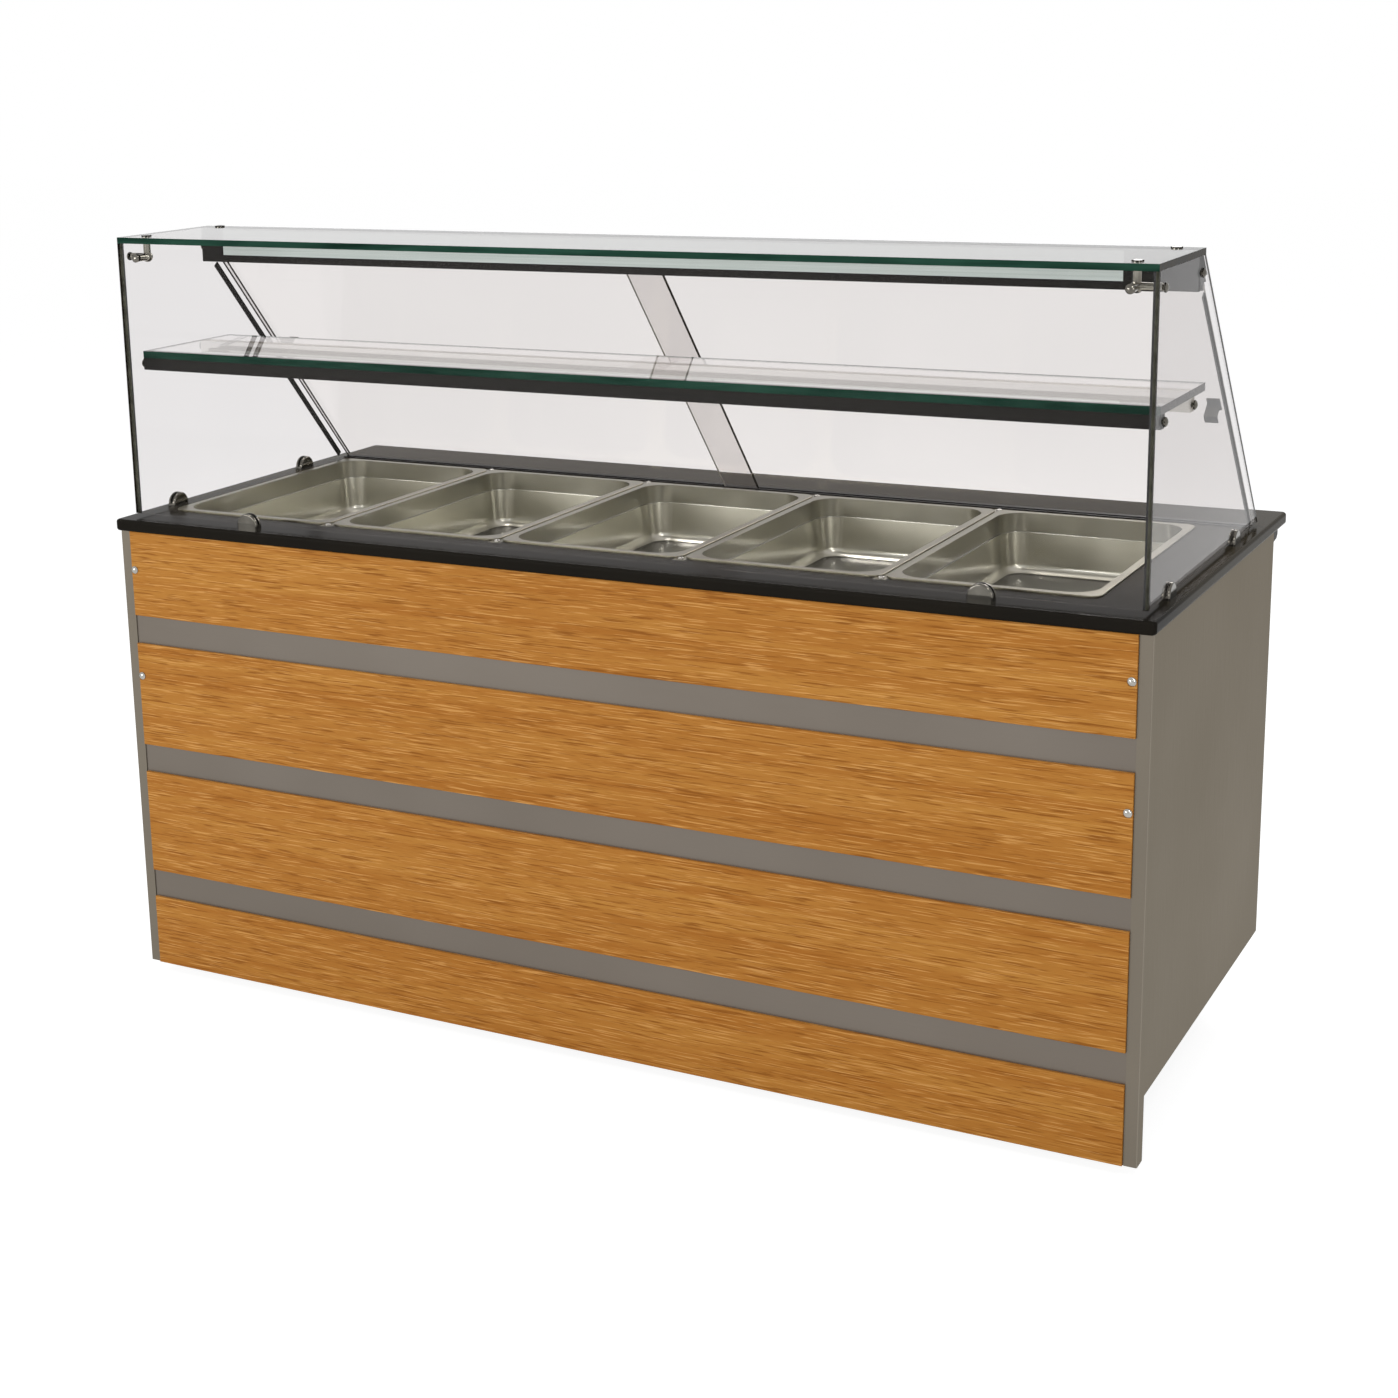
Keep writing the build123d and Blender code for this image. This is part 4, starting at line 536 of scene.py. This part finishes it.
# Corner beads: dark sealant with a hollow face, in the upright corners between front and side glass
beads = bmesh.new()
for side in (-1, 1):
    section = [(0.0, 0.0)]
    for step in range(BEAD_STEPS + 1):
        angle = math.pi / 2 * step / BEAD_STEPS
        section.append((BEAD_LEG - BEAD_LEG * math.sin(angle), BEAD_LEG - BEAD_LEG * math.cos(angle)))
    corner = [(side * (GLASS_CORNER_X - x), GLASS_CORNER_Y + y) for x, y in section]
    low, high = [[(x, y, z) for x, y in corner] for z in GLASS_Z]
    add_prism(beads, low, high)
add_piece("corner_beads", beads, slot_looks["black_moulding"], "cabinet")

# Overhang brackets: small black gussets under the worktop at the two ends of the rear fascia
brackets = bmesh.new()
for side in (-1, 1):
    profile = [(REAR_Y + out, WORKTOP_UNDER_Z + up) for out, up in BRACKET_OUTLINE]
    wide = sorted((side * SIDE_X, side * (SIDE_X - BRACKET_WIDTH)))
    left, right = [[(x, y, z) for y, z in profile] for x in wide]
    add_prism(brackets, left, right)
add_piece("overhang_brackets", brackets, slot_looks["track_alloy"], "cabinet")


def plate_on_fascia(form, outline, centre, turn, depth):
    """Add a thin printed mark to a bmesh: an outline in X and Z round a point of the rear fascia."""
    placed = []
    for across, up in outline:
        x = across * math.cos(turn) + up * math.sin(turn)
        z = -across * math.sin(turn) + up * math.cos(turn)
        placed.append((centre[0] + x, centre[1] + z))
    front = [form.verts.new((x, REAR_Y + depth, z)) for x, z in placed]
    form.faces.new(front)
    back = [form.verts.new((x, REAR_Y, z)) for x, z in placed]
    join_loops(form, front, back)


# Dial ticks: printed strokes along the knob's turn of 270 degrees, growing to the cold end
ticks = bmesh.new()
inner, outer = TICK_RADII
for number in range(TICK_COUNT):
    turn = math.radians(-TICK_STEP * number)
    half = TICK_HALF_WIDTH + TICK_GROWTH * number
    stroke = [(-half, inner), (half, inner), (half, outer), (-half, outer)]
    plate_on_fascia(ticks, stroke, (KNOB_X, CONTROL_Z), turn, TICK_DEPTH)
add_piece("dial_ticks", ticks, slot_looks["black_moulding"], "cabinet")

# Rocker marks: a raised stroke on the upper half and a raised ring on the lower half of each rocker
mark_look = moulded_plastic("mark_white", srgb(222, 222, 220), srgb(236, 236, 234), 0.5)
rocker_out = Vector((0, math.cos(ROCKER_TILT), math.sin(ROCKER_TILT)))
rocker_up = Vector((0, -math.sin(ROCKER_TILT), math.cos(ROCKER_TILT)))


def face_point(pivot, across, up, lift):
    """Point on a rocker's V-shaped face, lifted off it."""
    out = ROCKER_FACE_OUT + ROCKER_RISE * abs(up) / ROCKER_RUN + lift
    return pivot + Vector((across, 0, 0)) + rocker_out * out + rocker_up * up


for name, x in ROCKER_XS.items():
    pivot = Vector((x, ROCKER_PIVOT_Y, CONTROL_Z))
    marks = bmesh.new()
    low = [marks.verts.new(face_point(pivot, across, up, 0.0)) for across, up in MARK_STROKE]
    high = [marks.verts.new(face_point(pivot, across, up, MARK_LIFT)) for across, up in MARK_STROKE]
    marks.faces.new(high)
    join_loops(marks, low, high)
    rings = []
    for radius, lift in MARK_RINGS:
        ring = []
        for step in range(MARK_RING_STEPS):
            angle = 2 * math.pi * step / MARK_RING_STEPS
            up = MARK_RING_UP + radius * math.sin(angle)
            ring.append(marks.verts.new(face_point(pivot, radius * math.cos(angle), up, lift)))
        rings.append(ring)
    for outside, inside in zip(rings, rings[1:]):
        join_loops(marks, outside, inside)
    add_piece(f"{name}_marks", marks, mark_look, name)

# World: white where it is seen, softer where it lights
world = bpy.data.worlds.new("studio")
bpy.context.scene.world = world
world.use_nodes = True
tree = world.node_tree
path = tree.nodes.new("ShaderNodeLightPath")


def seen_directly(tree, path):
    """Factor that is one for camera, glossy and transmission rays."""
    first = tree.nodes.new("ShaderNodeMath")
    second = tree.nodes.new("ShaderNodeMath")
    for node in (first, second):
        node.operation = "MAXIMUM"
    tree.links.new(path.outputs["Is Camera Ray"], first.inputs[0])
    tree.links.new(path.outputs["Is Glossy Ray"], first.inputs[1])
    tree.links.new(first.outputs["Value"], second.inputs[0])
    tree.links.new(path.outputs["Is Transmission Ray"], second.inputs[1])
    return second.outputs["Value"]


lighting = tree.nodes["Background"]
lighting.inputs["Color"].default_value = (1, 1, 1, 1)
lighting.inputs["Strength"].default_value = AMBIENT
backdrop = tree.nodes.new("ShaderNodeBackground")
backdrop.inputs["Color"].default_value = (1, 1, 1, 1)
mixed = tree.nodes.new("ShaderNodeMixShader")
tree.links.new(seen_directly(tree, path), mixed.inputs["Fac"])
tree.links.new(lighting.outputs["Background"], mixed.inputs[1])
tree.links.new(backdrop.outputs["Background"], mixed.inputs[2])
tree.links.new(mixed.outputs["Shader"], tree.nodes["World Output"].inputs["Surface"])

# Floor: glows white where it is seen and still takes the object's shadow
floor_mesh = bpy.data.meshes.new("floor")
half = FLOOR_SIZE / 2
corners = [(-half, -half, 0), (half, -half, 0), (half, half, 0), (-half, half, 0)]
floor_mesh.from_pydata(corners, [], [(0, 1, 2, 3)])
floor = bpy.data.objects.new("floor", floor_mesh)
bpy.context.scene.collection.objects.link(floor)
floor_look = bpy.data.materials.new("floor")
floor_look.use_nodes = True
tree = floor_look.node_tree
tree.nodes.clear()
path = tree.nodes.new("ShaderNodeLightPath")
plain = tree.nodes.new("ShaderNodeBsdfDiffuse")
plain.inputs["Color"].default_value = (FLOOR_BOUNCE, FLOOR_BOUNCE, FLOOR_BOUNCE, 1)
shaded = tree.nodes.new("ShaderNodeBsdfDiffuse")
shaded.inputs["Color"].default_value = (FLOOR_ALBEDO, FLOOR_ALBEDO, FLOOR_ALBEDO, 1)
glow = tree.nodes.new("ShaderNodeEmission")
glow.inputs["Strength"].default_value = FLOOR_GLOW
shown = tree.nodes.new("ShaderNodeAddShader")
mixed = tree.nodes.new("ShaderNodeMixShader")
output = tree.nodes.new("ShaderNodeOutputMaterial")
tree.links.new(shaded.outputs["BSDF"], shown.inputs[0])
tree.links.new(glow.outputs["Emission"], shown.inputs[1])
tree.links.new(seen_directly(tree, path), mixed.inputs["Fac"])
tree.links.new(plain.outputs["BSDF"], mixed.inputs[1])
tree.links.new(shown.outputs["Shader"], mixed.inputs[2])
tree.links.new(mixed.outputs["Shader"], output.inputs["Surface"])
floor_mesh.materials.append(floor_look)
floor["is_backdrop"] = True

# Panes that the lamps leave out: the white surroundings light them
unlit_panes = bpy.data.collections.new("unlit_panes")
for name in panes:
    unlit_panes.objects.link(nodes[name])
for entry in unlit_panes.collection_objects:
    entry.light_linking.link_state = "EXCLUDE"


def area_lamp(name, place, target, size, power):
    """Soft lamp of a width and height that points at a target, and isn't mirrored by the panes."""
    lamp = bpy.data.lights.new(name, "AREA")
    lamp.shape = "RECTANGLE"
    lamp.size, lamp.size_y = size
    lamp.energy = power
    made = bpy.data.objects.new(name, lamp)
    made.location = place
    made.rotation_euler = (Vector(target) - Vector(place)).to_track_quat("-Z", "Y").to_euler()
    made.light_linking.receiver_collection = unlit_panes
    bpy.context.scene.collection.objects.link(made)


area_lamp("key_lamp", (-2.0, -3.9, 1.65), (-0.2, 0, 0.75), (2.8, 0.9), 71)
area_lamp("front_lamp", (3.5, -3.0, 1.7), (0, 0, 0.8), (0.8, 0.8), 20)
area_lamp("glint_lamp", (2.1, -2.5, 3.0), (0, -0.05, 0.78), (0.5, 0.5), 25)
area_lamp("rear_lamp", (0.6, 3.4, 3.0), (0, 0, 0.5), (2.4, 1.2), 60)
area_lamp("top_lamp", (-1.3, 0.3, 3.9), (0, 0, 0.7), (1.2, 1.2), 52)

# Camera
camera_data = bpy.data.cameras.new("camera")
camera_data.sensor_width = 36.0
camera_data.lens = CAMERA_LENS
camera_data.shift_x, camera_data.shift_y = CAMERA_SHIFT
camera = bpy.data.objects.new("camera", camera_data)
turn = Matrix.Rotation(math.radians(CAMERA_AZIMUTH), 4, "Z")
tilt = Matrix.Rotation(math.radians(90 - CAMERA_ELEVATION), 4, "X")
roll = Matrix.Rotation(math.radians(CAMERA_ROLL), 4, "Z")
camera.matrix_world = Matrix.Translation(CAMERA_PLACE) @ turn @ tilt @ roll
bpy.context.scene.collection.objects.link(camera)
bpy.context.scene.camera = camera
bpy.context.scene.view_settings.view_transform = "Standard"

low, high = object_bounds()
